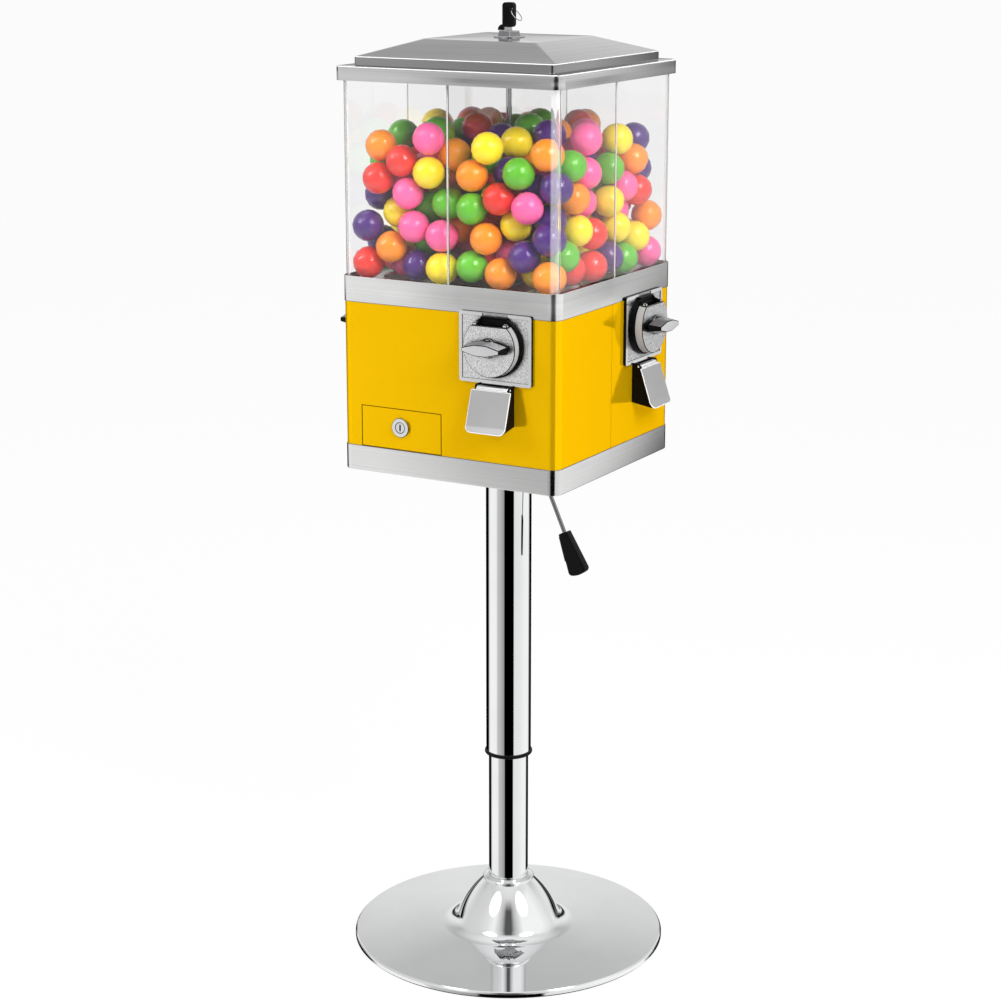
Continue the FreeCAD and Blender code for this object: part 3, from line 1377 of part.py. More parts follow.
def chute(side):
    """Moulded chute from the tray's outlet to the hooded mouth on the face."""
    body = new_body("chute")
    profile = sketch_on(body, "YZ_Plane", ("0", "0", "unit_offset"))
    outline(profile, [
        ("-chute_back + chute_wall", "chute_top"),
        ("-chute_front - chute_wall", "chute_top"),
        ("-chute_front - chute_wall", "chute_roof_height"),
        ("-shell_half", "chute_mouth_top + chute_wall"),
        ("-shell_half - cheek_top_out", "cheek_top"),
        ("-shell_half - cheek_bottom_out", "cheek_bottom"),
        ("-shell_half", "chute_mouth_bottom - chute_wall"),
        ("-chute_back + chute_wall", "chute_mouth_bottom - chute_wall + chute_fall"),
    ])
    pad(body, profile, "2 * chute_half", middle=True)
    flange = sketch_on(body, "XZ_Plane", ("unit_offset", "0", "shell_inner"))
    rectangle(flange, "-chute_half - chute_flange", "chute_mouth_bottom - chute_wall - chute_flange",
              "chute_half + chute_flange", "chute_mouth_top + chute_wall + chute_flange")
    pad(body, flange, "chute_wall", reverse=True)
    inside = sketch_on(body, "YZ_Plane", ("0", "0", "unit_offset"))
    knuckle_clear = "-shell_half - hinge_out + flap_knuckle_radius + 2 * running_gap"
    outline(inside, [
        ("-chute_back", "chute_top + chute_wall"),
        ("-chute_front", "chute_top + chute_wall"),
        ("-chute_front", "chute_roof_height - chute_wall"),
        ("-shell_half", "chute_mouth_top"),
        (knuckle_clear, "chute_mouth_top"),
        (knuckle_clear, "cheek_top + chute_wall"),
        ("-shell_half - 2 * cheek_bottom_out", "cheek_top + chute_wall"),
        ("-shell_half - 2 * cheek_bottom_out", "chute_mouth_bottom - 2 * chute_lip_drop"),
        ("-shell_half", "chute_mouth_bottom"),
        ("-chute_back", "chute_mouth_bottom + chute_fall"),
    ])
    pocket(body, inside, "chute_bore", middle=True)
    pivot = sketch_on(body, "YZ_Plane", ("0", "0", "unit_offset"))
    circle(pivot, "hinge_pin_radius + running_gap", "-shell_half - hinge_out", "hinge_height")
    pocket(body, pivot, "3 * chute_half", middle=True)
    return face_side(body, side)


def flap(side):
    """Plated flap that hangs on its hinge in front of the chute's mouth."""
    body = new_body(f"flap_{SIDES[side]}")
    profile = sketch_on(body, "YZ_Plane")
    crease = "-(flap_length - flap_lip_length)"
    outline(profile, [
        ("-flap_offset", "-flap_top_drop"),
        ("-flap_face", "-flap_top_drop"),
        ("-flap_face", crease),
        ("-flap_face - flap_lip_out", "-flap_length"),
        ("-flap_offset - flap_lip_out", "-flap_length"),
        ("-flap_offset", crease),
    ])
    plate = pad(body, profile, "flap_width", middle=True)
    half = size("flap_width / 2")

    def lower_corner(edge):
        """Edge through the flap's wall at a lower corner."""
        box = edge.BoundBox
        on_side = abs(abs(box.XMin) - half) < 1e-3 and box.XLength < 1e-3
        return on_side and abs(box.ZMax + size("flap_length")) < 1e-3

    round_edges(body, plate, "flap_corner", lower_corner)
    web = sketch_on(body, "YZ_Plane")
    rectangle(web, "-flap_offset - flap_wall / 2", "-flap_top_drop - flap_wall", "0", "0")
    pad(body, web, "chute_bore - 4 * running_gap", middle=True)
    knuckle = sketch_on(body, "YZ_Plane")
    circle(knuckle, "flap_knuckle_radius")
    pad(body, knuckle, "chute_bore - 4 * running_gap", middle=True)
    pin = sketch_on(body, "YZ_Plane")
    circle(pin, "hinge_pin_radius")
    pad(body, pin, "2 * chute_half", middle=True)
    hinge = FreeCAD.Placement(
        Vector(size("unit_offset"), -size("shell_half + hinge_out"), size("hinge_height")),
        FreeCAD.Rotation(Vector(1, 0, 0), -size("flap_tilt")))
    about = FreeCAD.Placement(Vector(), FreeCAD.Rotation(Vector(0, 0, 1), 90 * side))
    body.Placement = about.multiply(hinge)
    return body


# Cash drawer


def cash_drawer():
    """Open box with a painted front that lies flush in the housing."""
    body = new_body("cash_drawer")
    front = sketch_on(body, "XZ_Plane", ("0", "0", "shell_half"))
    rectangle(front, "-drawer_left + drawer_gap", "lower_trim_top + drawer_gap",
              "-drawer_right - drawer_gap", "drawer_top - drawer_gap")
    pad(body, front, "sheet_wall", reverse=True)
    box = sketch_on(body, "XZ_Plane", ("0", "0", "shell_inner"))
    rectangle(box, "-drawer_left + drawer_side_inset", "drawer_floor - drawer_wall",
              "-drawer_right - drawer_side_inset", "drawer_box_top")
    pad(body, box, "drawer_depth", reverse=True)
    inside = sketch_on(body, "XY_Plane", ("0", "0", "drawer_box_top"))
    rectangle(inside, "-drawer_left + drawer_side_inset + drawer_wall", "-shell_inner",
              "-drawer_right - drawer_side_inset - drawer_wall", "drawer_depth - shell_inner - drawer_wall")
    pocket(body, inside, "drawer_box_top - drawer_floor")
    hole = sketch_on(body, "XZ_Plane", ("-drawer_middle", "drawer_lock_z", "shell_half"))
    circle(hole, "lock_barrel_radius + seat_gap / 2")
    pocket(body, hole, "2 * sheet_wall")
    return body


def drawer_runner():
    """Bent shelf on the floor that the drawer slides on."""
    body = new_body("drawer_runner")
    shelf = "drawer_floor - drawer_wall - running_gap"
    left = "-drawer_left + drawer_side_inset"
    right = "-drawer_right - drawer_side_inset"
    profile = sketch_on(body, "XZ_Plane", ("0", "0", "shell_inner - drawer_side_inset"))
    outline(profile, [
        (left, "floor_top"),
        (f"{left} + runner_wall", "floor_top"),
        (f"{left} + runner_wall", f"{shelf} - runner_wall"),
        (f"{right} - runner_wall", f"{shelf} - runner_wall"),
        (f"{right} - runner_wall", "floor_top"),
        (right, "floor_top"),
        (right, shelf),
        (left, shelf),
    ])
    pad(body, profile, "drawer_depth - drawer_side_inset", reverse=True)
    return body


def drawer_lock_body():
    """Round lock in the drawer's front."""
    body = new_body("drawer_lock_body")
    at_face = ("-drawer_middle", "drawer_lock_z", "shell_half")
    bezel = sketch_on(body, "XZ_Plane", at_face)
    circle(bezel, "drawer_lock_bezel_radius")
    pad(body, bezel, "drawer_lock_bezel_height")
    barrel = sketch_on(body, "XZ_Plane", at_face)
    circle(barrel, "lock_barrel_radius")
    pad(body, barrel, "drawer_lock_barrel_depth", reverse=True)
    at_bezel = ("-drawer_middle", "drawer_lock_z", "shell_half + drawer_lock_bezel_height")
    bore = sketch_on(body, "XZ_Plane", at_bezel)
    circle(bore, "lock_plug_radius + running_gap")
    pocket(body, bore, "drawer_lock_bezel_height + drawer_lock_barrel_depth")
    return body


def drawer_lock_plug():
    """Plug with a keyhole in front and a latch cam behind."""
    body = new_body("drawer_lock_plug")
    face = ("-drawer_middle", "drawer_lock_z", "shell_half + drawer_lock_bezel_height - seat_gap")
    plug = sketch_on(body, "XZ_Plane", face)
    circle(plug, "lock_plug_radius")
    length = "drawer_lock_bezel_height + drawer_lock_barrel_depth + lock_cam_wall"
    pad(body, plug, length, reverse=True)
    slot = sketch_on(body, "XZ_Plane", face)
    rectangle(slot, "-keyhole_width / 2", "-keyhole_height / 2", "keyhole_width / 2", "keyhole_height / 2")
    pocket(body, slot, "keyhole_depth")
    cam = sketch_on(body, "XZ_Plane", ("-drawer_middle", "drawer_lock_z",
                                       f"shell_half + drawer_lock_bezel_height - seat_gap - ({length})"))
    rectangle(cam, "-lock_cam_width / 2", "-lock_cam_width / 2", "drawer_cam_reach", "lock_cam_width / 2")
    pad(body, cam, "lock_cam_wall - 2 * seat_gap")
    return body


# Gumballs


def settle(count, spread, low, high):
    """Drop balls into a square compartment and let them settle.

    Each ball is a sphere of diameter spread, with its centre kept between low and high across and
    above zero in height.
    """
    draw = random.Random(17)
    first_spacing = 1.04
    unrest = 0.05
    turns = 300
    step = spread * first_spacing
    across = max(1, int((high - low) / step) + 1)
    balls = []
    for index in range(count):
        layer, spot = divmod(index, across * across)
        row, column = divmod(spot, across)
        place = [low + column * step, low + row * step, layer * step]
        balls.append([value + draw.uniform(0, spread / 5) for value in place])
    for turn in range(turns):
        calm = spread * unrest * (1 - turn / turns)
        for ball in balls:
            ball[0] += draw.uniform(-calm, calm)
            ball[1] += draw.uniform(-calm, calm)
            ball[2] += draw.uniform(-2 * calm, calm)
        for _ in range(3):
            part_balls(balls, spread)
            for ball in balls:
                ball[0] = min(max(ball[0], low), high)
                ball[1] = min(max(ball[1], low), high)
                ball[2] = max(ball[2], 0.0)
    lift_balls(balls, spread)
    return balls


def part_balls(balls, spread):
    """Push every pair of balls that is too close apart by equal steps."""
    balls.sort(key=lambda ball: ball[2])
    for index, one in enumerate(balls):
        for other in balls[index + 1:]:
            rise = other[2] - one[2]
            if rise > spread:
                break
            run = other[0] - one[0]
            depth = other[1] - one[1]
            gap = math.sqrt(run * run + depth * depth + rise * rise)
            if 0 < gap < spread:
                push = 0.5 * (spread - gap) / gap
                for axis, part in enumerate((run, depth, rise)):
                    one[axis] -= push * part
                    other[axis] += push * part


def lift_balls(balls, spread):
    """Raise each ball, from the lowest up, until it only touches the balls below it."""
    balls.sort(key=lambda ball: ball[2])
    for index, ball in enumerate(balls):
        rests = []
        for below in balls[:index]:
            away = math.hypot(ball[0] - below[0], ball[1] - below[1])
            if away < spread:
                reach = math.sqrt(spread * spread - away * away)
                rests.append((below[2] - reach, below[2] + reach))
        for under, over in sorted(rests):
            if under < ball[2] < over:
                ball[2] = over


def gumballs():
    """Balls in the four compartments, sorted by colour."""
    spread = size("ball_diameter + 2 * ball_gap")
    low = size("divider_wall / 2") + spread / 2
    high = size("pane_inner") - spread / 2
    floor = size("hopper_top") + spread / 2
    area = (high - low + spread) ** 2
    count = int(size("ball_packing * ball_fill_height") * area / (math.pi * spread ** 3 / 6))
    spots = settle(count, spread, low, high)
    draw = random.Random(5)
    balls = {colour: [] for colour in BALL_COLOURS}
    for side in range(4):
        turn = FreeCAD.Rotation(Vector(0, 0, 1), 90 * side)
        colours = [BALL_COLOURS[index % len(BALL_COLOURS)] for index in range(count)]
        draw.shuffle(colours)
        for colour, spot in zip(colours, spots):
            ball = doc.addObject("Part::Sphere", f"{colour}_ball")
            bind(ball, "Radius", "ball_diameter / 2")
            place = Vector(spot[0], -spot[1], spot[2] + floor)
            ball.Placement = FreeCAD.Placement(turn.multVec(place), FreeCAD.Rotation())
            balls[colour].append(ball)
    return [group(f"gumballs_{colour}", members) for colour, members in balls.items()]


def every_side(maker):
    """One piece for each of the four sides."""
    return [maker(side) for side in range(len(SIDES))]


pieces = [
    base_shell(), base_weight(), floor_ring(), base_collar(), lower_tube(), tube_foot(), thrust_bearing(),
    guide_bush(), piston_rod(), gas_cylinder(), release_pin(), cover_tube(), glide_ring(), seat_plate(),
    seat_bolts(), lever_rod(), lever_grip(), lower_trim(), floor_plate(),
    housing_shell("front_shell", 0, True), housing_shell("rear_shell", 2, False),
    trim_band("upper_trim", "upper_trim_bottom", "upper_trim_height"),
    hopper_plate(), clear_panes(), dividers(), center_rod(),
    lid(), lid_lock_body(), lid_lock_plug(), lid_key(), key_ring(),
    group("coin_plates", every_side(coin_plate)), group("wheel_trays", every_side(wheel_tray)),
    group("chutes", every_side(chute)),
    cash_drawer(), drawer_runner(), drawer_lock_body(), drawer_lock_plug(),
]
for maker in (dial, drive_pinion, wheel, flap):
    pieces += every_side(maker)
pieces += gumballs()
doc.recompute()

for item in doc.Objects:
    if "Invalid" in item.State or "Error" in item.State:
        raise RuntimeError(f"{item.Label} ({item.Name}) did not build: {item.State}")
for piece in pieces:
    if piece.Shape.isNull() or not piece.Shape.isValid():
        raise RuntimeError(f"{piece.Label} has no valid shape")

os.makedirs("parts", exist_ok=True)
for piece in pieces:
    piece.Shape.exportStep(f"parts/{piece.Label}.step")
print(f"{len(pieces)} pieces, {sum(len(piece.Shape.Solids) for piece in pieces)} solids")
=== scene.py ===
"""Looks of a square gumball machine on a swivel stand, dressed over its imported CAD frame."""

import functools
import json
import logging
import math
from collections.abc import Callable, Sequence
from dataclasses import dataclass
from enum import Enum

import bmesh
import bpy
import numpy as np
from mathutils import Matrix, Vector

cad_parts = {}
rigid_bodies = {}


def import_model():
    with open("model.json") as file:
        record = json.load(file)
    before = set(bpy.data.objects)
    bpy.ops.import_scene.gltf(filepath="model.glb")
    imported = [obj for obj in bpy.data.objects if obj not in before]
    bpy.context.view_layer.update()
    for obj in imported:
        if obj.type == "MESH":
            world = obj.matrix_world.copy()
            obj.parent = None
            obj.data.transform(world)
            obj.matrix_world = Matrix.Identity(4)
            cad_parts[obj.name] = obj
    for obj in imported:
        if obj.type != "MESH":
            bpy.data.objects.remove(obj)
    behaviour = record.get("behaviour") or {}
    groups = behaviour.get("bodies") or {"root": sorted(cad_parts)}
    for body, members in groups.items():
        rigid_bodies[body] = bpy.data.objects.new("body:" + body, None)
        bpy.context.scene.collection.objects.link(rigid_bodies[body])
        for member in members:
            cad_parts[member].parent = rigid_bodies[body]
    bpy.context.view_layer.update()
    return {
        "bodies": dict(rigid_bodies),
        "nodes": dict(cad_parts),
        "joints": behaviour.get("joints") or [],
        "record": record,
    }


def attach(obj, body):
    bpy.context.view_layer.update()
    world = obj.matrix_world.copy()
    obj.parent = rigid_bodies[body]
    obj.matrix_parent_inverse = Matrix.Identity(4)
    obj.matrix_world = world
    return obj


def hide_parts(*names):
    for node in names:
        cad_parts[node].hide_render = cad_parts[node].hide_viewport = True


LOG = logging.getLogger("gumball_machine")
MM = 0.001
SIDES = ("front", "right", "back", "left")
UP = Vector((0.0, 0.0, 1.0))
WHITE = (1.0, 1.0, 1.0, 1.0)

Color = tuple[float, float, float]
Place = tuple[float, float, float]
Pair = tuple[float, float]
Stops = Sequence[Pair]
Socket = bpy.types.NodeSocket
Piece = bpy.types.Object
Inputs = dict[str, object]

# Numbers of a colour Mix node's sockets, whose names repeat for each kind of data.
MIX_INPUTS = (0, 6, 7)
MIX_RESULT = 2


class Effect(Enum):
    """Surface patterns that several finishes share."""

    MOTTLE = "soft_mottle"
    BRUSH = "brush_lines"
    GRAIN = "cast_grain"


# Detail and roughness of each pattern's noise, and the part of its range that is used.
NOISE = {Effect.MOTTLE: (4.0, 0.55), Effect.BRUSH: (7.0, 0.7), Effect.GRAIN: (5.0, 0.75)}
NOISE_SPAN = (0.3, 0.7)
GRAIN_CELLS = 0.35
GRAIN_NOISE = 0.75


class Nodes:
    """Places and joins the nodes of one tree."""

    def __init__(self, tree: bpy.types.NodeTree) -> None:
        """Keeps the tree."""
        self.tree = tree

    def add(self, kind: str, sockets: dict | None = None, **settings: object) -> bpy.types.Node:
        """Adds a node.

        Args:
            kind: The node's type name.
            sockets: Input name or number to a value, or to the output that feeds it.
            **settings: The node's own properties.

        Returns:
            The new node.
        """
        node = self.tree.nodes.new(kind)
        for key, value in settings.items():
            setattr(node, key, value)
        for key, value in (sockets or {}).items():
            if isinstance(value, Socket):
                self.tree.links.new(value, node.inputs[key])
            else:
                node.inputs[key].default_value = value
        return node

    def out(self, kind: str, sockets: dict | None = None, **settings: object) -> Socket:
        """Adds a node and returns its first output."""
        return self.add(kind, sockets, **settings).outputs[0]

    def math(self, operation: str, first: object, second: object = 0.0, third: object = 0.0) -> Socket:
        """Adds a Math node and returns its value."""
        return self.out("ShaderNodeMath", {0: first, 1: second, 2: third}, operation=operation)

    def vector(self, operation: str, first: object, **sockets: object) -> Socket:
        """Adds a Vector Math node and returns its vector."""
        return self.out("ShaderNodeVectorMath", {0: first, **sockets}, operation=operation)

    def span(self, value: Socket, low: float, high: float, to_low: object = 0.0,
             to_high: object = 1.0) -> Socket:
        """Maps a value from one range to another, clamped."""
        sockets = {"Value": value, "From Min": low, "From Max": high, "To Min": to_low, "To Max": to_high}
        return self.out("ShaderNodeMapRange", sockets)

    def blend(self, factor: object, first: object, second: object) -> Socket:
        """Mixes two colours and returns the result."""
        sockets = dict(zip(MIX_INPUTS, (factor, first, second)))
        return self.add("ShaderNodeMix", sockets, data_type="RGBA").outputs[MIX_RESULT]

    def greys(self, value: Socket, stops: Stops) -> Socket:
        """Adds a ramp of greys.

        Args:
            value: What runs along the ramp, from 0 to 1.
            stops: Position and grey level of each stop, in order.

        Returns:
            The ramp's colour.
        """
        node = self.add("ShaderNodeValToRGB", {"Fac": value})
        elements = node.color_ramp.elements
        while len(elements) < len(stops):
            elements.new(1.0)
        for element, (position, grey) in zip(elements, stops):
            element.position = position
            element.color = (grey, grey, grey, 1.0)
        return node.outputs["Color"]

    def pattern(self, effect: Effect, vector: Socket, scale: float, low: float = 0.0,
                high: float = 1.0) -> Socket:
        """Places a shared pattern that runs from low to high and returns its value."""
        sockets = {"Vector": vector, "Scale": scale, "Low": low, "High": high}
        return self.out("ShaderNodeGroup", sockets, node_tree=effect_group(effect))


@functools.cache
def effect_group(effect: Effect) -> bpy.types.NodeTree:
    """Builds the shader group of a pattern, on its first use.

    Args:
        effect: The pattern.

    Returns:
        The group, whose value runs from its low to its high input.
    """
    group = bpy.data.node_groups.new(effect.value, "ShaderNodeTree")
    for name, kind in (("Vector", "Vector"), ("Scale", "Float"), ("Low", "Float"), ("High", "Float")):
        group.interface.new_socket(name=name, in_out="INPUT", socket_type=f"NodeSocket{kind}")
    group.interface.new_socket(name="Value", in_out="OUTPUT", socket_type="NodeSocketFloat")
    nodes = Nodes(group)
    given = nodes.add("NodeGroupInput").outputs
    where = {"Vector": given["Vector"], "Scale": given["Scale"]}
    detail, roughness = NOISE[effect]
    form = {**where, "Detail": detail, "Roughness": roughness}
    level = nodes.out("ShaderNodeTexNoise", form)
    if effect is Effect.GRAIN:
        cells = nodes.out("ShaderNodeTexVoronoi", where)
        level = nodes.math("MULTIPLY_ADD", cells, GRAIN_CELLS, nodes.math("MULTIPLY", level, GRAIN_NOISE))
    value = nodes.span(level, *NOISE_SPAN, given["Low"], given["High"])
    nodes.add("NodeGroupOutput", {"Value": value})
    return group


def fresh_nodes(owner: bpy.types.Material | bpy.types.World) -> Nodes:
    """Empties the shader tree of a material or world.

    Args:
        owner: The material or world.

    Returns:
        Its nodes.
    """
    owner.use_nodes = True
    owner.node_tree.nodes.clear()
    return Nodes(owner.node_tree)


def shade(color: Color, level: float) -> tuple[float, float, float, float]:
    """Returns a colour made darker or lighter, with full alpha."""
    return (*(min(part * level, 1.0) for part in color), 1.0)


@dataclass(frozen=True)
class Finish:
    """A surface finish, made into a material once and shared by its pieces. Depths are in metres."""

    name: str
    color: Color
    roughness: float
    pattern: Effect = Effect.MOTTLE
    stretch: Place = (1.0, 1.0, 1.0)
    scale: float = 14.0
    tone: float = 0.94
    light: float = 1.0
    relief: float = 0.0
    relief_scale: float = 0.0
    drift: Pair = (0.85, 1.15)
    drift_scale: float = 9.0
    # Painted shade: ambient occlusion within this reach darkens the colour in corners and recesses, over the
    # given span, towards a low share of itself; 0 leaves it out.
    painted_shade_reach: float = 0.0
    painted_shade_span: Pair = (0.35, 0.85)
    painted_shade_level: float = 0.04
    painted_shade_samples: int = 6

    @functools.cache
    def material(self) -> bpy.types.Material:
        """Builds the finish's material, on its first use.

        Returns:
            The material.
        """
        made = bpy.data.materials.new(self.name)
        nodes = fresh_nodes(made)
        coords = nodes.add("ShaderNodeTexCoord").outputs["Object"]
        inputs = {**self.looks(nodes, coords), **self.constants()}
        shader = nodes.out("ShaderNodeBsdfPrincipled", inputs)
        nodes.add("ShaderNodeOutputMaterial", {"Surface": self.surface(nodes, shader)})
        return made

    def looks(self, nodes: Nodes, coords: Socket) -> Inputs:
        """Works out the shader's inputs that change over the surface, with painted shade in corners where the
        finish has it.

        Args:
            nodes: The material's nodes.
            coords: The place on the piece.

        Returns:
            Input name to the output that feeds it.
        """
        along = nodes.out("ShaderNodeMapping", {"Vector": coords, "Scale": self.stretch})
        pattern = nodes.pattern(self.pattern, along, self.scale)
        dark, light, painted_shade_color = (shade(self.color, level) for level in (self.tone, self.light, self.painted_shade_level))
        color = nodes.blend(self.mask(nodes, pattern), dark, light)
        # Painted shade: ambient occlusion darkens the colour in corners and recesses.
        if self.painted_shade_reach:
            reach = {"Distance": self.painted_shade_reach}
            corner = nodes.add("ShaderNodeAmbientOcclusion", reach, samples=self.painted_shade_samples)
            color = nodes.blend(nodes.span(corner.outputs["AO"], *self.painted_shade_span), painted_shade_color, color)
        inputs = {"Base Color": color, "Roughness": self.uneven(nodes, coords)}
        if self.relief:
            height = nodes.pattern(Effect.MOTTLE, coords, self.relief_scale) if self.relief_scale else pattern
            depth = {"Height": height, "Distance": self.relief, "Strength": 1.0}
            inputs["Normal"] = nodes.out("ShaderNodeBump", depth)
        return inputs

    def mask(self, nodes: Nodes, pattern: Socket) -> Socket:
        """Gives what runs from the dark to the light tone."""
        return pattern

    def uneven(self, nodes: Nodes, coords: Socket) -> Socket:
        """Gives a roughness that drifts between two shares of the finish's own."""
        least, most = (self.roughness * share for share in self.drift)
        return nodes.pattern(Effect.MOTTLE, coords, self.drift_scale, least, most)

    def constants(self) -> Inputs:
        """Gives the shader's plain inputs."""
        raise NotImplementedError

    def surface(self, nodes: Nodes, shader: Socket) -> Socket:
        """Gives what the material puts out: the plain shader, unless a finish adds to it."""
        return shader


@dataclass(frozen=True)
class Metal(Finish):
    """Bare or plated metal."""

    drift: Pair = (0.7, 1.3)

    def constants(self) -> Inputs:
        """Gives the shader's plain inputs."""
        return {"Metallic": 1.0}


@dataclass(frozen=True)
class Paint(Finish):
    """Metallic paint on sheet metal, with a faint orange peel."""

    scale: float = 5.0
    tone: float = 0.96
    relief: float = 0.000003
    relief_scale: float = 260.0
    drift_scale: float = 30.0
    flake: float = 0.6
    glint: float = 1.1

    def constants(self) -> Inputs:
        """Gives the shader's plain inputs."""
        tint = shade(self.color, self.glint)
        return {"Metallic": self.flake, "Specular IOR Level": 0.0, "Specular Tint": tint}


@dataclass(frozen=True)
class Moulding(Finish):
    """Moulded plastic or rubber, or raw casting, with a fine grain."""

    pattern: Effect = Effect.GRAIN
    scale: float = 900.0
    tone: float = 0.8
    relief: float = 0.00003
    drift_scale: float = 25.0
    gloss: float = 0.4

    def constants(self) -> Inputs:
        """Gives the shader's plain inputs."""
        return {"Specular IOR Level": self.gloss}


@dataclass(frozen=True)
class Clear(Finish):
    """Clear sheet that lets light and shadows through, with faint handling marks and a milky share that paints
    a pale sheen.
    """

    drift: Pair = (0.0, 1.0)
    drift_scale: float = 16.0
    ior: float = 1.49
    # Share of matte white in place of clearness: a painted sheen.
    painted_sheen: float = 0.0

    def looks(self, nodes: Nodes, coords: Socket) -> Inputs:
        """Works out the handling marks."""
        return {"Roughness": self.uneven(nodes, coords)}

    def constants(self) -> Inputs:
        """Gives the shader's plain inputs."""
        color = shade(self.color, 1.0)
        return {"Base Color": color, "Transmission Weight": 1.0 - self.painted_sheen, "IOR": self.ior}

    def surface(self, nodes: Nodes, shader: Socket) -> Socket:
        """Lets shadow and diffuse rays straight through.

        Args:
            nodes: The material's nodes.
            shader: The plain shader.

        Returns:
            The surface.
        """
        path = nodes.add("ShaderNodeLightPath").outputs
        let_by = nodes.math("MAXIMUM", path["Is Shadow Ray"], path["Is Diffuse Ray"])
        open_air = nodes.out("ShaderNodeBsdfTransparent")
        return nodes.out("ShaderNodeMixShader", {0: let_by, 1: shader, 2: open_air})


@dataclass(frozen=True)
class Candy(Finish):
    """Sugar shell of a gumball: glossy, slightly uneven, and a little different from ball to ball."""

    scale: float = 120.0
    tone: float = 0.88
    light: float = 1.06
    relief: float = 0.0001
    drift: Pair = (0.8, 1.25)
    drift_scale: float = 220.0
    ball_share: float = 0.5
    gloss: float = 0.3
    coat: float = 0.5
    coat_roughness: float = 0.15

    def mask(self, nodes: Nodes, pattern: Socket) -> Socket:
        """Gives each ball its own tone beside the pattern."""
        ball = nodes.add("ShaderNodeAttribute", attribute_name="tone").outputs["Fac"]
        return nodes.math("MULTIPLY_ADD", pattern, 1 - self.ball_share,
                          nodes.math("MULTIPLY", ball, self.ball_share))

    def constants(self) -> Inputs:
        """Gives the shader's plain inputs."""
        return {"Specular IOR Level": self.gloss, "Coat Weight": self.coat,
                "Coat Roughness": self.coat_roughness}


LEVEL_BRUSH = (3.0, 3.0, 700.0)

CHROME = Metal("mirror_chrome", (0.90, 0.905, 0.91), 0.03)
TRIM = Metal("satin_trim", (0.79, 0.79, 0.785), 0.17, Effect.BRUSH, LEVEL_BRUSH, scale=1.0, tone=0.9,
             relief=0.000004)
LID_STEEL = Metal("brushed_lid", (0.61, 0.61, 0.61), 0.13, Effect.BRUSH, LEVEL_BRUSH, scale=1.0, tone=0.86)
# LID_SHADE is a darker copy of the lid's steel: painted shade on the wall of the tier and on the ledge.
LID_SHADE = Metal("shaded_lid", (0.32, 0.32, 0.32), 0.13, Effect.BRUSH, LEVEL_BRUSH, scale=1.0, tone=0.86)
FLAP_STEEL = Metal("satin_flap", (0.54, 0.54, 0.54), 0.3, scale=25.0, tone=0.95)
CAST_CHROME = Metal("plated_casting", (0.9, 0.9, 0.91), 0.12, scale=40.0, tone=0.92)
# The speckled casting has painted shade: ambient occlusion darkens it in corners, such as round the dial and
# its bar.
SPECKLED = Metal("speckled_casting", (0.95, 0.95, 0.96), 0.2, Effect.GRAIN, scale=520.0, tone=0.5,
                 relief=0.0001, painted_shade_reach=0.009)
LOCK_METAL = Metal("dull_plating", (0.26, 0.26, 0.27), 0.2, Effect.GRAIN, scale=500.0, tone=0.8,
                   relief=0.00005)
# Dark plating of the lever's rod; on the bands it also paints shade along the seam with the paint.
DARK_ROD_AND_SEAM_SHADE = Metal("dark_plating_and_seam_shade", (0.3, 0.3, 0.31), 0.12, scale=80.0, tone=0.85)
PLAIN_STEEL = Metal("zinc_steel", (0.6, 0.61, 0.62), 0.3, scale=60.0, tone=0.85, relief=0.00002)
# Black moulding for the black plastic parts; elsewhere it paints shade in recesses, on sides and as outlines.
BLACK_AND_PAINTED_SHADE = Moulding("black_moulding_and_painted_shade", (0.003, 0.003, 0.003), 0.4, gloss=0.1)
# A satin grey that paints the reflection on the sides of the chrome dials.
SATIN_SIDE_REFLECTION = Moulding("satin_painted_reflection", (0.42, 0.42, 0.42), 0.3, scale=500.0, tone=0.9)
# A pale matte finish that paints highlights on rolled and softened edges.
HIGHLIGHT_EDGE = Moulding("painted_highlight_edge", (0.82, 0.82, 0.82), 0.3, scale=500.0, tone=0.95)
SAWN_EDGE = Moulding("sawn_acrylic", (0.8, 0.81, 0.81), 0.4, scale=700.0, tone=0.95)
WHITE_PLASTIC = Moulding("white_moulding", (0.8, 0.79, 0.75), 0.4, tone=0.97)
RUBBER = Moulding("soft_rubber", (0.02, 0.02, 0.02), 0.7, scale=600.0)
CASTING = Moulding("raw_casting", (0.09, 0.09, 0.09), 0.75, scale=300.0, relief=0.0002)
YELLOW = Paint("yellow_gloss", (0.90, 0.52, 0.002), 0.08)
# A dark brown paint that paints shade along the drawer's gap.
GAP_SHADE_PAINT = Paint("painted_gap_shade", (0.08, 0.025, 0.001), 0.3)
CLEAR = Clear("clear_acrylic", (1.0, 1.0, 1.0), 0.02)
# The bends of the panes take a milky share, a painted sheen.
BENT_CLEAR_SHEEN = Clear("bent_acrylic_painted_sheen", (1.0, 1.0, 1.0), 0.05, painted_sheen=0.13)
CANDY_COLORS = {
    "red": (0.77, 0.03, 0.02), "orange": (0.94, 0.27, 0.01), "yellow": (0.96, 0.72, 0.01),
    "green": (0.11, 0.46, 0.02), "purple": (0.06, 0.011, 0.165), "pink": (0.92, 0.12, 0.34)}
CANDIES = {name: Candy(f"candy_{name}", color, 0.3) for name, color in CANDY_COLORS.items()}

# How squarely a face looks outward to count as facing that way, or as a side.
SQUARE_ON = 0.9
EDGE_ON = 0.3


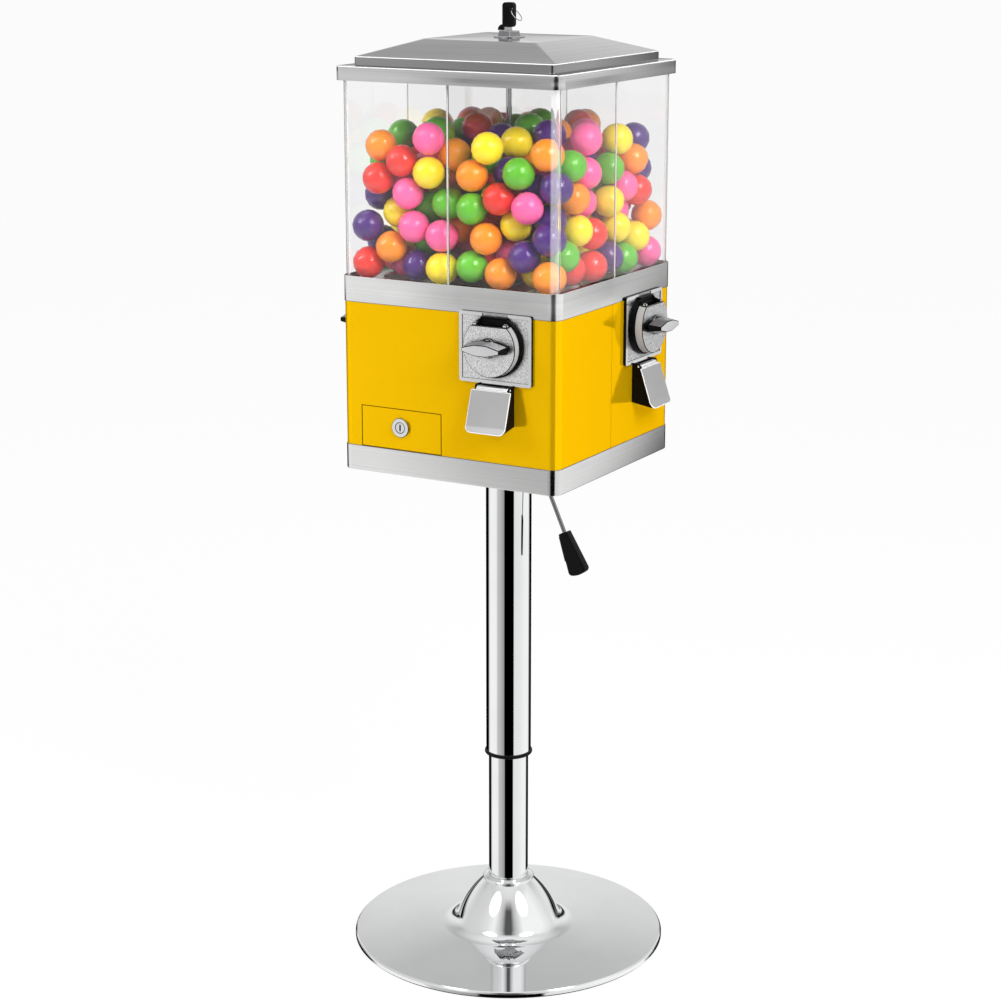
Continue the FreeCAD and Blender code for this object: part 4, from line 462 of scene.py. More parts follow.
@dataclass(frozen=True)
class Spot:
    """Where a face lies on its own side of the head, in millimetres, and how far it looks outward and up."""

    across: float
    out: float
    height: float
    squarely: float
    upward: float

    def faces_out(self) -> bool:
        """Tells if the face looks straight outward."""
        return self.squarely > SQUARE_ON

    def is_side(self) -> bool:
        """Tells if the face looks along its side of the head."""
        return abs(self.squarely) < EDGE_ON

    @classmethod
    def of(cls, face: bpy.types.MeshPolygon) -> "Spot":
        """Finds where a face lies on the side of the head that it is nearest to.

        Args:
            face: The face.

        Returns:
            The spot.
        """
        middle, normal = face.center, face.normal
        if abs(middle.y) > abs(middle.x):
            outward = Vector((0.0, math.copysign(1.0, middle.y), 0.0))
        else:
            outward = Vector((math.copysign(1.0, middle.x), 0.0, 0.0))
        across = UP.cross(outward)
        place = (middle.dot(across), middle.dot(outward), middle.z)
        return cls(*(part / MM for part in place), normal.dot(outward), normal.z)


Choice = Callable[[Spot], Finish]


def new_piece(name: str, mesh: bpy.types.Mesh, *finishes: Finish,
              choose: Choice | None = None) -> Piece:
    """Puts a mesh in the scene with its finishes.

    Args:
        name: The piece's name.
        mesh: Its mesh.
        *finishes: Its finishes.
        choose: Picks a face's finish from its spot. Without it, all faces have the first.

    Returns:
        The piece.
    """
    piece = bpy.data.objects.new(name, mesh)
    bpy.context.scene.collection.objects.link(piece)
    mesh.materials.clear()
    for finish in finishes:
        mesh.materials.append(finish.material())
    for face in mesh.polygons:
        chosen = choose(Spot.of(face)) if choose else finishes[0]
        face.material_index = finishes.index(chosen)
    return piece


def bake(piece: Piece) -> None:
    """Turns a piece's modifiers into plain mesh.

    Args:
        piece: The piece.
    """
    graph = bpy.context.evaluated_depsgraph_get()
    mesh = bpy.data.meshes.new_from_object(piece.evaluated_get(graph))
    piece.modifiers.clear()
    piece.data = mesh


def seat(piece: Piece, body: str, slot: str, *nodes: str) -> None:
    """Makes a piece ride on a body.

    Args:
        piece: The piece.
        body: The body.
        slot: The piece's material slot, which is not used.
        *nodes: The CAD nodes that it replaces.
    """
    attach(piece, body)
    if nodes:
        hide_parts(*nodes)
    LOG.info("%s rides on %s for %s", piece.name, body, ", ".join(nodes) or "no node")


def plain_mesh(made: bmesh.types.BMesh, name: str) -> bpy.types.Mesh:
    """Turns an edit mesh into a plain one.

    Args:
        made: The edit mesh, which is freed.
        name: The plain mesh's name.

    Returns:
        The plain mesh.
    """
    mesh = bpy.data.meshes.new(name)
    made.to_mesh(mesh)
    made.free()
    return mesh


def bridge(made: bmesh.types.BMesh, one: Sequence[bmesh.types.BMVert],
           other: Sequence[bmesh.types.BMVert]) -> None:
    """Joins two rings of as many points with faces.

    Args:
        made: The edit mesh.
        one: The first ring.
        other: The second ring.
    """
    for index, point in enumerate(one):
        after = (index + 1) % len(one)
        made.faces.new((point, one[after], other[after], other[index]))


# What lofting a band goes by: the weld in metres, the least radius in millimetres, the angle in degrees.
RING_WELD = 1e-7
LEAST_PLAN = 0.05
PLAN_STEPS = 8
ROLL_STEPS = 4
CRISP_ANGLE = 28.0


@dataclass(frozen=True)
class Corner:
    """Corner of a lofted section: its reach, height, radius in plan and edge radius, in millimetres."""

    half: float
    height: float
    plan: float
    edge: float = 0.0

    def ring(self) -> list[Vector]:
        """Goes round the square of the corner.

        Returns:
            The points, anticlockwise, in metres.
        """
        points = []
        plan = self.plan
        centre = (self.half - plan) * math.sqrt(2)
        for quarter in range(4):
            middle = math.radians(45 + 90 * quarter)
            for step in range(PLAN_STEPS + 1):
                turn = math.radians(90 * (quarter + step / PLAN_STEPS))
                points.append(Vector((centre * math.cos(middle) + plan * math.cos(turn),
                                      centre * math.sin(middle) + plan * math.sin(turn), self.height)) * MM)
        return points


def section(corners: Sequence[Corner]) -> list[Corner]:
    """Rounds the edges of a closed section.

    Args:
        corners: The section.

    Returns:
        The finer section.
    """
    finer = []
    for index, corner in enumerate(corners):
        if not corner.edge:
            finer.append(corner)
            continue
        here = Vector((corner.half, corner.height))
        sides = []
        for other in (corners[index - 1], corners[(index + 1) % len(corners)]):
            away = Vector((other.half, other.height)) - here
            sides.append(here + away.normalized() * min(corner.edge, away.length / 2))
        for step in range(ROLL_STEPS + 1):
            share = step / ROLL_STEPS
            spot = sides[0].lerp(here, share).lerp(here.lerp(sides[1], share), share)
            finer.append(Corner(spot.x, spot.y, max(corner.plan + spot.x - corner.half, LEAST_PLAN)))
    return finer


def loft(name: str, corners: Sequence[Corner]) -> bpy.types.Mesh:
    """Builds a closed band of rounded squares.

    Args:
        name: The mesh's name.
        corners: The section, closed from its last corner to its first.

    Returns:
        The mesh.
    """
    made = bmesh.new()
    rings = [[made.verts.new(point) for point in corner.ring()] for corner in section(corners)]
    for one, other in zip(rings, rings[1:] + rings[:1]):
        bridge(made, one, other)
    bmesh.ops.remove_doubles(made, verts=made.verts, dist=RING_WELD)
    bmesh.ops.recalc_face_normals(made, faces=made.faces)
    mesh = plain_mesh(made, name)
    mesh.shade_smooth()
    mesh.set_sharp_from_angle(angle=math.radians(CRISP_ANGLE))
    return mesh


# What softening an edge goes by: distances in metres, angles in degrees.
NODE_WELD = 2e-6
FLAT_ANGLE = 0.6
EDGE_ANGLE = 35.0
EDGE_STEPS = 2
LEVEL_WEIGHT = 90
NEIGHBOURS_FINISH = -1


@dataclass(frozen=True)
class Edges:
    """Softened edges: their width in millimetres, their own finish, and if short edges hold the width back."""

    width: float
    finish: Finish | None = None
    clamped: bool = True


# Grey levels of the surroundings that reflections show, by bearing from the camera's in degrees.
AROUND = (
    (-180, 0.12), (-165, 0.0), (-125, 0.0), (-115, 0.9), (-100, 1.0), (-66, 0.97), (-58, 0.6),
    (-40, 0.5), (-24, 0.34), (-21, 0.0), (25, 0.0), (28, 0.85), (60, 0.9), (90, 1.0), (114, 1.0),
    (120, 1.0), (123, 0.85), (127, 0.55), (133, 0.0), (165, 0.0), (180, 0.12))
BESIDE_PANES = (
    (-180, 0.1), (-100, 1.0), (-66, 1.1), (-60.9, 1.0), (-60.5, 0.3), (-57, 0.3), (-50, 0.9),
    (-30, 0.9), (-12, 0.2), (12, 0.2), (30, 1.2), (110, 1.2), (121, 0.4), (123.2, 0.4), (123.6, 0.8),
    (128, 0.5), (140, 0.1))
SKY_BEFORE = (
    (-110, 0.7), (-70, 0.75), (-50, 0.85), (-35, 1.0), (-15, 0.5), (-7, 0.1), (7, 0.1), (15, 0.5),
    (35, 1.0), (80, 1.0), (110, 0.8))
# The same by height, from the horizon at 0 to straight up at 1.
SKY_BEHIND = ((0.0, 0.9), (0.26, 0.86), (0.41, 0.71), (0.5, 0.56), (0.58, 0.5), (0.7, 0.62), (1.0, 0.95))


@dataclass(frozen=True)
class Lamp:
    """A square soft lamp: its place and size in metres, and its power in watts."""

    name: str
    place: Place
    size: float
    power: float


@dataclass
class Studio:
    """Camera, lamps, pale floor and surroundings."""

    camera_place: Place = (1.4036, -2.4700, 1.3129)
    camera_pitch: float = 14.549
    camera_heading: float = 29.814
    lens: float = 85.37
    lamps: tuple[Lamp, ...] = (
        Lamp("key_lamp", (2.6, -1.3, 2.7), 1.6, 120.0),
        Lamp("fill_lamp", (-2.1, -2.2, 2.6), 1.6, 60.0),
        Lamp("top_lamp", (-0.3, 0.4, 3.2), 2.2, 18.0))
    lamp_aim: Place = (0.0, 0.0, 0.7)
    floor_reach: float = 60.0
    floor_color: Color = (0.85, 0.85, 0.85)
    floor_glow: float = 0.94
    ambient: float = 0.5
    ambient_blue: float = 1.01
    panes_foot: Pair = (-0.15, -0.142)
    panes_head: Pair = (-0.07, -0.06)
    horizon: Pair = (0.0, 0.1)
    zenith: Pair = (0.7, 0.85)
    sky_turn: Pair = (105.0, 130.0)
    spark: float = 5.0
    spark_sides: Pair = (-48.0, 48.0)
    spark_rise: float = 47.0
    spark_fade: Pair = (0.972, 0.992)

    def set_up(self) -> None:
        """Builds the camera, floor, surroundings and lamps."""
        bpy.context.scene.view_settings.view_transform = "Standard"
        self.add_camera()
        self.add_floor()
        self.add_world()
        for lamp in self.lamps:
            self.add_lamp(lamp)

    def add_camera(self) -> None:
        """Places the camera at the photograph's angle."""
        data = bpy.data.cameras.new("camera")
        data.lens = self.lens
        camera = bpy.data.objects.new("camera", data)
        camera.location = self.camera_place
        tilt = math.radians(90.0 - self.camera_pitch)
        camera.rotation_euler = (tilt, 0.0, math.radians(self.camera_heading))
        bpy.context.scene.collection.objects.link(camera)
        bpy.context.scene.camera = camera

    def add_floor(self) -> None:
        """Lays a plain pale floor that keeps a soft shadow."""
        reach = self.floor_reach
        corners = [(-reach, -reach, 0), (reach, -reach, 0), (reach, reach, 0), (-reach, reach, 0)]
        mesh = bpy.data.meshes.new("floor")
        mesh.from_pydata(corners, [], [(0, 1, 2, 3)])
        floor = bpy.data.objects.new("floor", mesh)
        bpy.context.scene.collection.objects.link(floor)
        floor.visible_glossy = False
        paper = bpy.data.materials.new("paper_floor")
        nodes = fresh_nodes(paper)
        path = nodes.add("ShaderNodeLightPath").outputs
        through = self.through_panes(nodes)[0]
        seen = nodes.math("MULTIPLY_ADD", path["Is Camera Ray"], self.floor_glow, through)
        lit = nodes.out("ShaderNodeBsdfDiffuse", {"Color": shade(self.floor_color, 1.0)})
        white = nodes.out("ShaderNodeEmission", {"Color": WHITE})
        surface = nodes.out("ShaderNodeMixShader", {0: seen, 1: lit, 2: white})
        nodes.add("ShaderNodeOutputMaterial", {"Surface": surface})
        mesh.materials.append(paper)

    def add_world(self) -> None:
        """Sets even surroundings, white to the eye, with dark and grey bays that only reflections show."""
        world = bpy.data.worlds.new("studio")
        bpy.context.scene.world = world
        nodes = fresh_nodes(world)
        bays = self.add_bays(nodes)
        path = nodes.add("ShaderNodeLightPath").outputs
        even = (self.ambient, self.ambient, self.ambient * self.ambient_blue, 1.0)
        through, mirrored = self.through_panes(nodes)
        lit = nodes.blend(nodes.math("MAXIMUM", path["Is Glossy Ray"], mirrored), even, bays)
        seen = nodes.math("MAXIMUM", path["Is Camera Ray"], through)
        color = nodes.blend(seen, lit, WHITE)
        background = nodes.out("ShaderNodeBackground", {"Color": color})
        nodes.add("ShaderNodeOutputWorld", {"Surface": background})

    def add_bays(self, nodes: Nodes) -> Socket:
        """Adds what reflections show.

        Args:
            nodes: The world's nodes.

        Returns:
            The colour of each direction.
        """
        way = nodes.add("ShaderNodeTexCoord").outputs["Generated"]
        east, north, rise = nodes.add("ShaderNodeSeparateXYZ", {0: way}).outputs
        bearing = nodes.math("ARCTAN2", east, nodes.math("MULTIPLY", north, -1.0))
        facing = math.atan2(self.camera_place[0], -self.camera_place[1])
        turned = nodes.math("WRAP", nodes.math("SUBTRACT", bearing, facing), math.pi, -math.pi)
        around = self.by_bearing(nodes, turned, AROUND)
        beside = nodes.math("MULTIPLY", nodes.span(rise, *self.panes_foot),
                            nodes.span(rise, *self.panes_head, 1.0, 0.0))
        around = nodes.blend(beside, around, self.by_bearing(nodes, turned, BESIDE_PANES))
        behind = nodes.greys(nodes.span(rise, 0.0, 1.0), SKY_BEHIND)
        before = self.by_bearing(nodes, turned, SKY_BEFORE)
        start, end = (math.radians(angle) for angle in self.sky_turn)
        aside = nodes.span(nodes.math("ABSOLUTE", turned), start, end)
        above = nodes.blend(nodes.math("MAXIMUM", aside, nodes.span(rise, *self.zenith)), before, behind)
        bays = nodes.blend(nodes.span(rise, *self.horizon), around, above)
        lift = math.radians(self.spark_rise)
        glow = (self.spark, self.spark, self.spark, 1.0)
        for side in self.spark_sides:
            spot = facing + math.radians(side)
            centre = (math.sin(spot) * math.cos(lift), -math.cos(spot) * math.cos(lift), math.sin(lift))
            aim = {0: way, 1: centre}
            near = nodes.add("ShaderNodeVectorMath", aim, operation="DOT_PRODUCT").outputs["Value"]
            bays = nodes.blend(nodes.span(near, *self.spark_fade), bays, glow)
        return bays

    @staticmethod
    def through_panes(nodes: Nodes) -> tuple[Socket, Socket]:
        """Sorts the rays that passed a clear pane.

        Args:
            nodes: The tree's nodes.

        Returns:
            Which came straight from the eye, and which were mirrored before.
        """
        path = nodes.add("ShaderNodeLightPath").outputs
        passed = path["Is Transmission Ray"]
        mirrored = nodes.math("MULTIPLY", passed, nodes.span(path["Glossy Depth"], 0.0, 1.0))
        return nodes.math("SUBTRACT", passed, mirrored), mirrored

    @staticmethod
    def by_bearing(nodes: Nodes, turned: Socket, stops: Stops) -> Socket:
        """Adds a ramp of greys by bearing, with stops in degrees from the camera's, and returns its colour."""
        level = nodes.span(turned, -math.pi, math.pi)
        return nodes.greys(level, [((angle + 180.0) / 360.0, grey) for angle, grey in stops])

    def add_lamp(self, lamp: Lamp) -> None:
        """Hangs a lamp that faces the machine's head.

        Args:
            lamp: The lamp.
        """
        data = bpy.data.lights.new(lamp.name, "AREA")
        data.size = lamp.size
        data.energy = lamp.power
        hung = bpy.data.objects.new(lamp.name, data)
        hung.location = lamp.place
        toward = Vector(self.lamp_aim) - Vector(lamp.place)
        hung.rotation_euler = toward.to_track_quat("-Z", "Y").to_euler()
        hung.visible_glossy = False
        bpy.context.scene.collection.objects.link(hung)


@dataclass
class SubAssembly:
    """Pieces of the machine that are dressed together. Sizes are in millimetres."""

    frame: dict

    def build(self) -> None:
        """Builds and dresses the pieces."""
        raise NotImplementedError

    def dress(self, finish: Finish, *nodes: str) -> None:
        """Gives CAD nodes a finish in place of their plain colour.

        Args:
            finish: The finish.
            *nodes: The CAD nodes.
        """
        for node in nodes:
            for place in self.frame["nodes"][node].material_slots:
                place.material = finish.material()
            LOG.info("%s keeps its shape, in %s", node, finish.name)

    def refine(self, node: str, body: str, slot: str, edges: Edges, *finishes: Finish,
               choose: Choice | None = None) -> None:
        """Replaces a CAD node by its shape with softened edges.

        Args:
            node: The CAD node.
            body: The body that it rides on.
            slot: Its material slot.
            edges: How the edges are softened.
            *finishes: The piece's finishes.
            choose: Picks a face's finish, as for new_piece.
        """
        name = f"{node}_finished"
        made = bmesh.new()
        made.from_mesh(self.frame["nodes"][node].data)
        bmesh.ops.remove_doubles(made, verts=made.verts, dist=NODE_WELD)
        flat = math.radians(FLAT_ANGLE)
        bmesh.ops.dissolve_limit(made, angle_limit=flat, verts=made.verts, edges=made.edges)
        mesh = plain_mesh(made, name)
        if "custom_normal" in mesh.attributes:
            mesh.attributes.remove(mesh.attributes["custom_normal"])
        mesh.shade_smooth()
        piece = new_piece(name, mesh, *finishes, choose=choose)
        bevel = piece.modifiers.new("soft_edges", "BEVEL")
        bevel.width = edges.width * MM
        bevel.segments = EDGE_STEPS
        bevel.use_clamp_overlap = edges.clamped
        bevel.limit_method = "ANGLE"
        bevel.angle_limit = math.radians(EDGE_ANGLE)
        bevel.material = finishes.index(edges.finish) if edges.finish else NEIGHBOURS_FINISH
        level = piece.modifiers.new("level_faces", "WEIGHTED_NORMAL")
        level.weight = LEVEL_WEIGHT
        bake(piece)
        seat(piece, body, slot, node)


@dataclass
class Stand(SubAssembly):
    """Round base and telescopic column, with the lever that releases its lift."""

    grip_edge: float = 0.6

    def build(self) -> None:
        """Dresses the base, the tubes, the lift inside and its lever."""
        self.dress(CHROME, "base_shell", "base_collar", "lower_tube", "cover_tube")
        self.dress(RUBBER, "floor_ring")
        self.dress(CASTING, "base_weight")
        self.dress(PLAIN_STEEL, "tube_foot", "thrust_bearing", "piston_rod", "gas_cylinder", "seat_plate",
                   "seat_bolts", "release_pin")
        self.dress(BLACK_AND_PAINTED_SHADE, "guide_bush", "glide_ring")
        self.dress(DARK_ROD_AND_SEAM_SHADE, "lever_rod")
        self.refine("lever_grip", "lever", "black_plastic", Edges(self.grip_edge), BLACK_AND_PAINTED_SHADE)


@dataclass
class Housing(SubAssembly):
    """Painted housing between its two bright bands, with the cash drawer."""

    trim_half: float = 146.7
    trim_corner: float = 13.0
    trim_wall: float = 0.8
    trim_return: float = 9.0
    trim_lip: float = 0.7
    trim_roll: float = 0.3
    foot_roll: float = 1.2
    inner_roll: float = 0.4
    lower_trim: Pair = (631.1, 661.7)
    upper_trim: Pair = (835.1, 865.8)
    drawer_edge: float = 0.55
    lock_edge: float = 0.6
    plug_edge: float = 0.25
    plug_out: float = 148.7
    plug_face: float = 0.3

    def build(self) -> None:
        """Builds the bands and dresses the shells, drawer and floor."""
        self.build_trims()
        self.dress(YELLOW, "front_shell", "rear_shell")
        self.dress(PLAIN_STEEL, "floor_plate", "drawer_runner")
        # The drawer front's softened edges are painted shade along its gap.
        self.refine("cash_drawer", "drawer", "yellow_paint", Edges(self.drawer_edge, GAP_SHADE_PAINT), YELLOW,
                    GAP_SHADE_PAINT)
        # The lock's softened edges are a black painted shade outline, and its plug is black behind its face,
        # painted shade in the keyhole.
        self.refine("drawer_lock_body", "drawer", "lock_metal", Edges(self.lock_edge, BLACK_AND_PAINTED_SHADE), CHROME,
                    BLACK_AND_PAINTED_SHADE)
        self.refine("drawer_lock_plug", "drawer_lock", "lock_metal", Edges(self.plug_edge), CAST_CHROME,
                    BLACK_AND_PAINTED_SHADE, choose=self.on_plug)

    def on_plug(self, spot: Spot) -> Finish:
        """Paints shade in black on what lies behind the face of the drawer lock's plug."""
        return BLACK_AND_PAINTED_SHADE if spot.out < self.plug_out - self.plug_face else CAST_CHROME

    def build_trims(self) -> None:
        """Builds the two bands with rolled edges."""
        half, plan, wall = self.trim_half, self.trim_corner, self.trim_wall
        lip, roll = self.trim_lip, self.trim_roll
        low, high = self.upper_trim
        self.build_band("upper_trim", low, [
            Corner(half, low, plan, roll), Corner(half, low + lip, plan), Corner(half, high, plan, roll),
            Corner(half - wall, high, plan - wall, roll), Corner(half - wall, low, plan - wall, roll)])
        low, high = self.lower_trim
        inner = half - self.trim_return
        self.build_band("lower_trim", high, [
            Corner(half, low, plan, self.foot_roll), Corner(half, high - lip, plan),
            Corner(half, high, plan, roll), Corner(half - wall, high, plan - wall, roll),
            Corner(half - wall, low + wall, plan - wall, self.inner_roll),
            Corner(inner, low + wall, plan - wall, roll), Corner(inner, low, plan - wall, roll)])

    def build_band(self, node: str, paint_edge: float, corners: Sequence[Corner]) -> None:
        """Builds a bright band with a line of painted shade, in dark plating, where it meets the paint.

        Args:
            node: The CAD node that it replaces.
            paint_edge: The height where it meets the paint.
            corners: Its section.
        """
        lip = self.trim_lip
        # Painted shade: the band's faces along the paint take the dark plating.
        band = new_piece(f"{node}_band", loft(node, corners), TRIM, DARK_ROD_AND_SEAM_SHADE,
                         choose=lambda spot: DARK_ROD_AND_SEAM_SHADE if abs(spot.height - paint_edge) < lip else TRIM)
        seat(band, "head", "bright_trim", node)


def grow(name: str, points: Sequence[Vector], inputs: dict[str, tuple[str, float]],
         build: Callable[[Nodes, bpy.types.NodeOutputs], Socket], finish: Finish) -> Piece:
    """Builds a piece on points by a Geometry Nodes tree, and bakes it into plain mesh.

    Args:
        name: The piece's name.
        points: The points.
        inputs: Name of each input of the tree, with its kind and value.
        build: Adds the tree's nodes from the nodes and the inputs, and returns the instances.
        finish: The piece's finish.

    Returns:
        The piece.
    """
    mesh = bpy.data.meshes.new(name)
    mesh.from_pydata(points, [], [])
    piece = new_piece(name, mesh, finish)
    tree = bpy.data.node_groups.new(name, "GeometryNodeTree")
    tree.is_modifier = True
    tree.interface.new_socket(name="Geometry", in_out="INPUT", socket_type="NodeSocketGeometry")
    values = {}
    for key, (kind, value) in inputs.items():
        socket = tree.interface.new_socket(name=key, in_out="INPUT", socket_type=f"NodeSocket{kind}")
        values[socket.identifier] = value
    tree.interface.new_socket(name="Geometry", in_out="OUTPUT", socket_type="NodeSocketGeometry")
    nodes = Nodes(tree)
    made = build(nodes, nodes.add("NodeGroupInput").outputs)
    real = nodes.out("GeometryNodeRealizeInstances", {"Geometry": made})
    dressed = nodes.out("GeometryNodeSetMaterial", {"Geometry": real, "Material": finish.material()})
    nodes.add("NodeGroupOutput", {0: dressed})
    modifier = piece.modifiers.new(name, "NODES")
    modifier.node_group = tree
    for identifier, value in values.items():
        modifier[identifier] = value
    bake(piece)
    return piece


CUBE_SIZE = (2.0, 2.0, 2.0)
ANY_TURN = (6.28, 6.28, 6.28)
BAR_SEGMENTS = 12
BAR_RINGS = 10


@dataclass
class Hopper(SubAssembly):
    """Clear hopper with its partitions and gumballs."""

    ball_radius: float = 19.0
    ball_cells: int = 5
    ball_seed: int = 4
    fewest_faces: int = 8
    pane_edge: float = 0.1
    seam_reach: float = 2.0
    bend_start: float = 134.6

    def build(self) -> None:
        """Dresses the panes and fills the compartments."""
        self.refine("clear_panes", "head", "clear_sheet", Edges(self.pane_edge), CLEAR, SAWN_EDGE, BENT_CLEAR_SHEEN,
                    choose=self.on_pane)
        self.dress(CLEAR, "dividers")
        self.dress(PLAIN_STEEL, "hopper_plate", "center_rod")
        inputs = {"Radius": ("Float", self.ball_radius * MM), "Cells": ("Int", self.ball_cells),
                  "Seed": ("Int", self.ball_seed)}
        for color, candy in CANDIES.items():
            node = f"gumballs_{color}"
            shells = grow(f"{node}_shells", self.ball_centres(node), inputs, self.balls, candy)
            seat(shells, "head", f"gum_{color}", node)

    def on_pane(self, spot: Spot) -> Finish:
        """Pales the sawn ends of the panes, in the middle of each side, and gives their bends a milky painted
        sheen.
        """
        sawn = abs(spot.across) < self.seam_reach and spot.is_side()
        return BENT_CLEAR_SHEEN if abs(spot.across) > self.bend_start else SAWN_EDGE if sawn else CLEAR

    def ball_centres(self, node: str) -> list[Vector]:
        """Finds the balls of a CAD node.

        Args:
            node: The CAD node.

        Returns:
            The centre of each ball.
        """
        mesh = self.frame["nodes"][node].data
        middles = np.empty(len(mesh.polygons) * 3)
        normals = np.empty(len(mesh.polygons) * 3)
        mesh.polygons.foreach_get("center", middles)
        mesh.polygons.foreach_get("normal", normals)
        spots = (middles - normals * self.ball_radius * MM).reshape(-1, 3)
        centres = []
        while len(spots):
            same = np.linalg.norm(spots - spots[0], axis=1) < self.ball_radius * MM / 2
            if same.sum() > self.fewest_faces:
                centres.append(Vector(spots[same].mean(axis=0)))
            spots = spots[~same]
        return centres

    @staticmethod
    def balls(nodes: Nodes, given: bpy.types.NodeOutputs) -> Socket:
        """Blows up a cube into a ball and sets it, turned and toned, on the points.

        Args:
            nodes: The tree's nodes.
            given: The tree's inputs.

        Returns:
            The balls.
        """
        counts = {f"Vertices {axis}": given["Cells"] for axis in "XYZ"}
        cube = nodes.out("GeometryNodeMeshCube", {"Size": CUBE_SIZE, **counts})
        place = nodes.out("GeometryNodeInputPosition")
        even = nodes.vector("TANGENT", nodes.vector("SCALE", place, Scale=math.pi / 4))
        sized = nodes.vector("SCALE", nodes.vector("NORMALIZE", even), Scale=given["Radius"])
        ball = nodes.out("GeometryNodeSetPosition", {"Geometry": cube, "Position": sized})
        ball = nodes.out("GeometryNodeSetShadeSmooth", {"Geometry": ball})
        tone = nodes.add("FunctionNodeRandomValue", {"Seed": given["Seed"]}, data_type="FLOAT").outputs[1]
        turns = {"Max": ANY_TURN, "Seed": given["Seed"]}
        turn = nodes.out("FunctionNodeRandomValue", turns, data_type="FLOAT_VECTOR")
        marked = {"Geometry": given["Geometry"], "Name": "tone", "Value": tone}
        points = nodes.out("GeometryNodeStoreNamedAttribute", marked, domain="POINT")
        placed = {"Points": points, "Instance": ball, "Rotation": turn}
        return nodes.out("GeometryNodeInstanceOnPoints", placed)


@dataclass
class Lid(SubAssembly):
    """Stepped steel lid with its lock, key and ring."""

    wall: float = 1.2
    rim: Pair = (150.0, 12.0)
    tier: Pair = (133.0, 6.0)
    top_half: float = 75.0
    heights: tuple[float, ...] = (1093.5, 1110.0, 1120.0, 1139.0)
    foot_edge: float = 0.5
    rim_edge: float = 1.8
    step_edge: float = 0.8
    roof_edge: float = 1.0
    roll_slope: Pair = (0.2, 0.93)
    rim_reach: float = 3.0
    eave_reach: float = 2.0
    step_margin: float = 0.5
    rim_margin: float = 1.5
    lock_hole: float = 10.1
    lock_edge: float = 0.6
    key_head: Pair = (1150.8, 1179.3)
    key_wall: float = 7.0
    key_edge: float = 0.5
    head_margin: float = 0.1
    blade_half: float = 6.0
    key_ribs: tuple[float, ...] = (-4.6, -2.0, 0.6)
    rib_radius: float = 0.8
    rib_length: float = 22.0

    def build(self) -> None:
        """Builds the lid and dresses its lock."""
        low, ledge, eave, top = self.heights
        rim, rim_plan = self.rim
        tier, tier_plan = self.tier
        wall, hole = self.wall, self.lock_hole
        corners = [
            Corner(rim, low, rim_plan, self.foot_edge), Corner(rim, ledge, rim_plan, self.rim_edge),
            Corner(tier, ledge, tier_plan, self.step_edge), Corner(tier, eave, tier_plan, self.roof_edge),
            Corner(self.top_half, top, tier_plan, self.roof_edge), Corner(hole, top, hole),
            Corner(hole, top - wall, hole), Corner(self.top_half, top - wall, tier_plan),
            Corner(tier - wall, eave - wall, tier_plan - wall),
            Corner(tier - wall, ledge - wall, tier_plan - wall),
            Corner(rim - wall, ledge - wall, rim_plan - wall),
            Corner(rim - wall, low, rim_plan - wall, self.foot_edge),
        ]
        lid = new_piece("lid_pressing", loft("lid", corners), LID_STEEL, LID_SHADE, HIGHLIGHT_EDGE,
                        choose=self.on_pressing)
        seat(lid, "lid", "lid_steel", "lid")
        self.refine("lid_lock_body", "lid", "lock_metal", Edges(self.lock_edge, CAST_CHROME), LOCK_METAL,
                    CAST_CHROME)
        self.dress(LOCK_METAL, "lid_lock_plug")
        self.refine("lid_key", "lid_key", "black_plastic", Edges(self.key_edge), BLACK_AND_PAINTED_SHADE, PLAIN_STEEL,
                    choose=self.on_key)
        self.dress(PLAIN_STEEL, "key_ring")
        self.build_key_ribs()

    def on_pressing(self, spot: Spot) -> Finish:
        """Paints highlights on the rolled edges of the lid, and paints shade on the wall of its tier and on
        its ledge.

        Args:
            spot: A face's spot.

        Returns:
            The face's finish.
        """
        rim = self.rim[0]
        ledge, eave = self.heights[1:3]
        on_rim = spot.height < ledge and spot.out > rim - self.rim_reach
        flattest, steepest = self.roll_slope
        # Painted highlight on the rolled edges of the rim and the eave.
        if flattest < spot.upward < steepest and (on_rim or abs(spot.height - eave) < self.eave_reach):
            return HIGHLIGHT_EDGE
        # Painted shade on the wall of the tier and on the ledge.
        on_tier = ledge - self.step_margin < spot.height < eave - self.step_margin
        return LID_SHADE if on_tier and spot.out < rim - self.rim_margin else LID_STEEL

    def on_key(self, spot: Spot) -> Finish:
        """Keeps the key's blade bare below its moulded head."""
        on_blade = spot.height < self.key_head[0] - self.head_margin and spot.out < self.blade_half
        return PLAIN_STEEL if on_blade else BLACK_AND_PAINTED_SHADE

    def build_key_ribs(self) -> None:
        """Builds the finger ribs on both faces of the key's head."""
        middle = (self.key_head[0] + self.key_head[1]) / 2
        spots = [Vector((across, side * self.key_wall / 2, middle)) * MM
                 for side in (-1, 1) for across in self.key_ribs]
        inputs = {"Radius": ("Float", self.rib_radius * MM), "Length": ("Float", self.rib_length * MM)}
        ribs = grow("key_head_ribs", spots, inputs, self.bars, BLACK_AND_PAINTED_SHADE)
        seat(ribs, "lid_key", "black_plastic")

    @staticmethod
    def bars(nodes: Nodes, given: bpy.types.NodeOutputs) -> Socket:
        """Stretches a ball into a bar and stands it on the points.

        Args:
            nodes: The tree's nodes.
            given: The tree's inputs.

        Returns:
            The bars.
        """
        ball = nodes.out("GeometryNodeMeshUVSphere", {"Segments": BAR_SEGMENTS, "Rings": BAR_RINGS})
        ball = nodes.out("GeometryNodeSetShadeSmooth", {"Geometry": ball})
        half = nodes.math("MULTIPLY", given["Length"], 0.5)
        thick = given["Radius"]
        reach = nodes.out("ShaderNodeCombineXYZ", {0: thick, 1: thick, 2: half})
        placed = {"Points": given["Geometry"], "Instance": ball, "Scale": reach}
        return nodes.out("GeometryNodeInstanceOnPoints", placed)


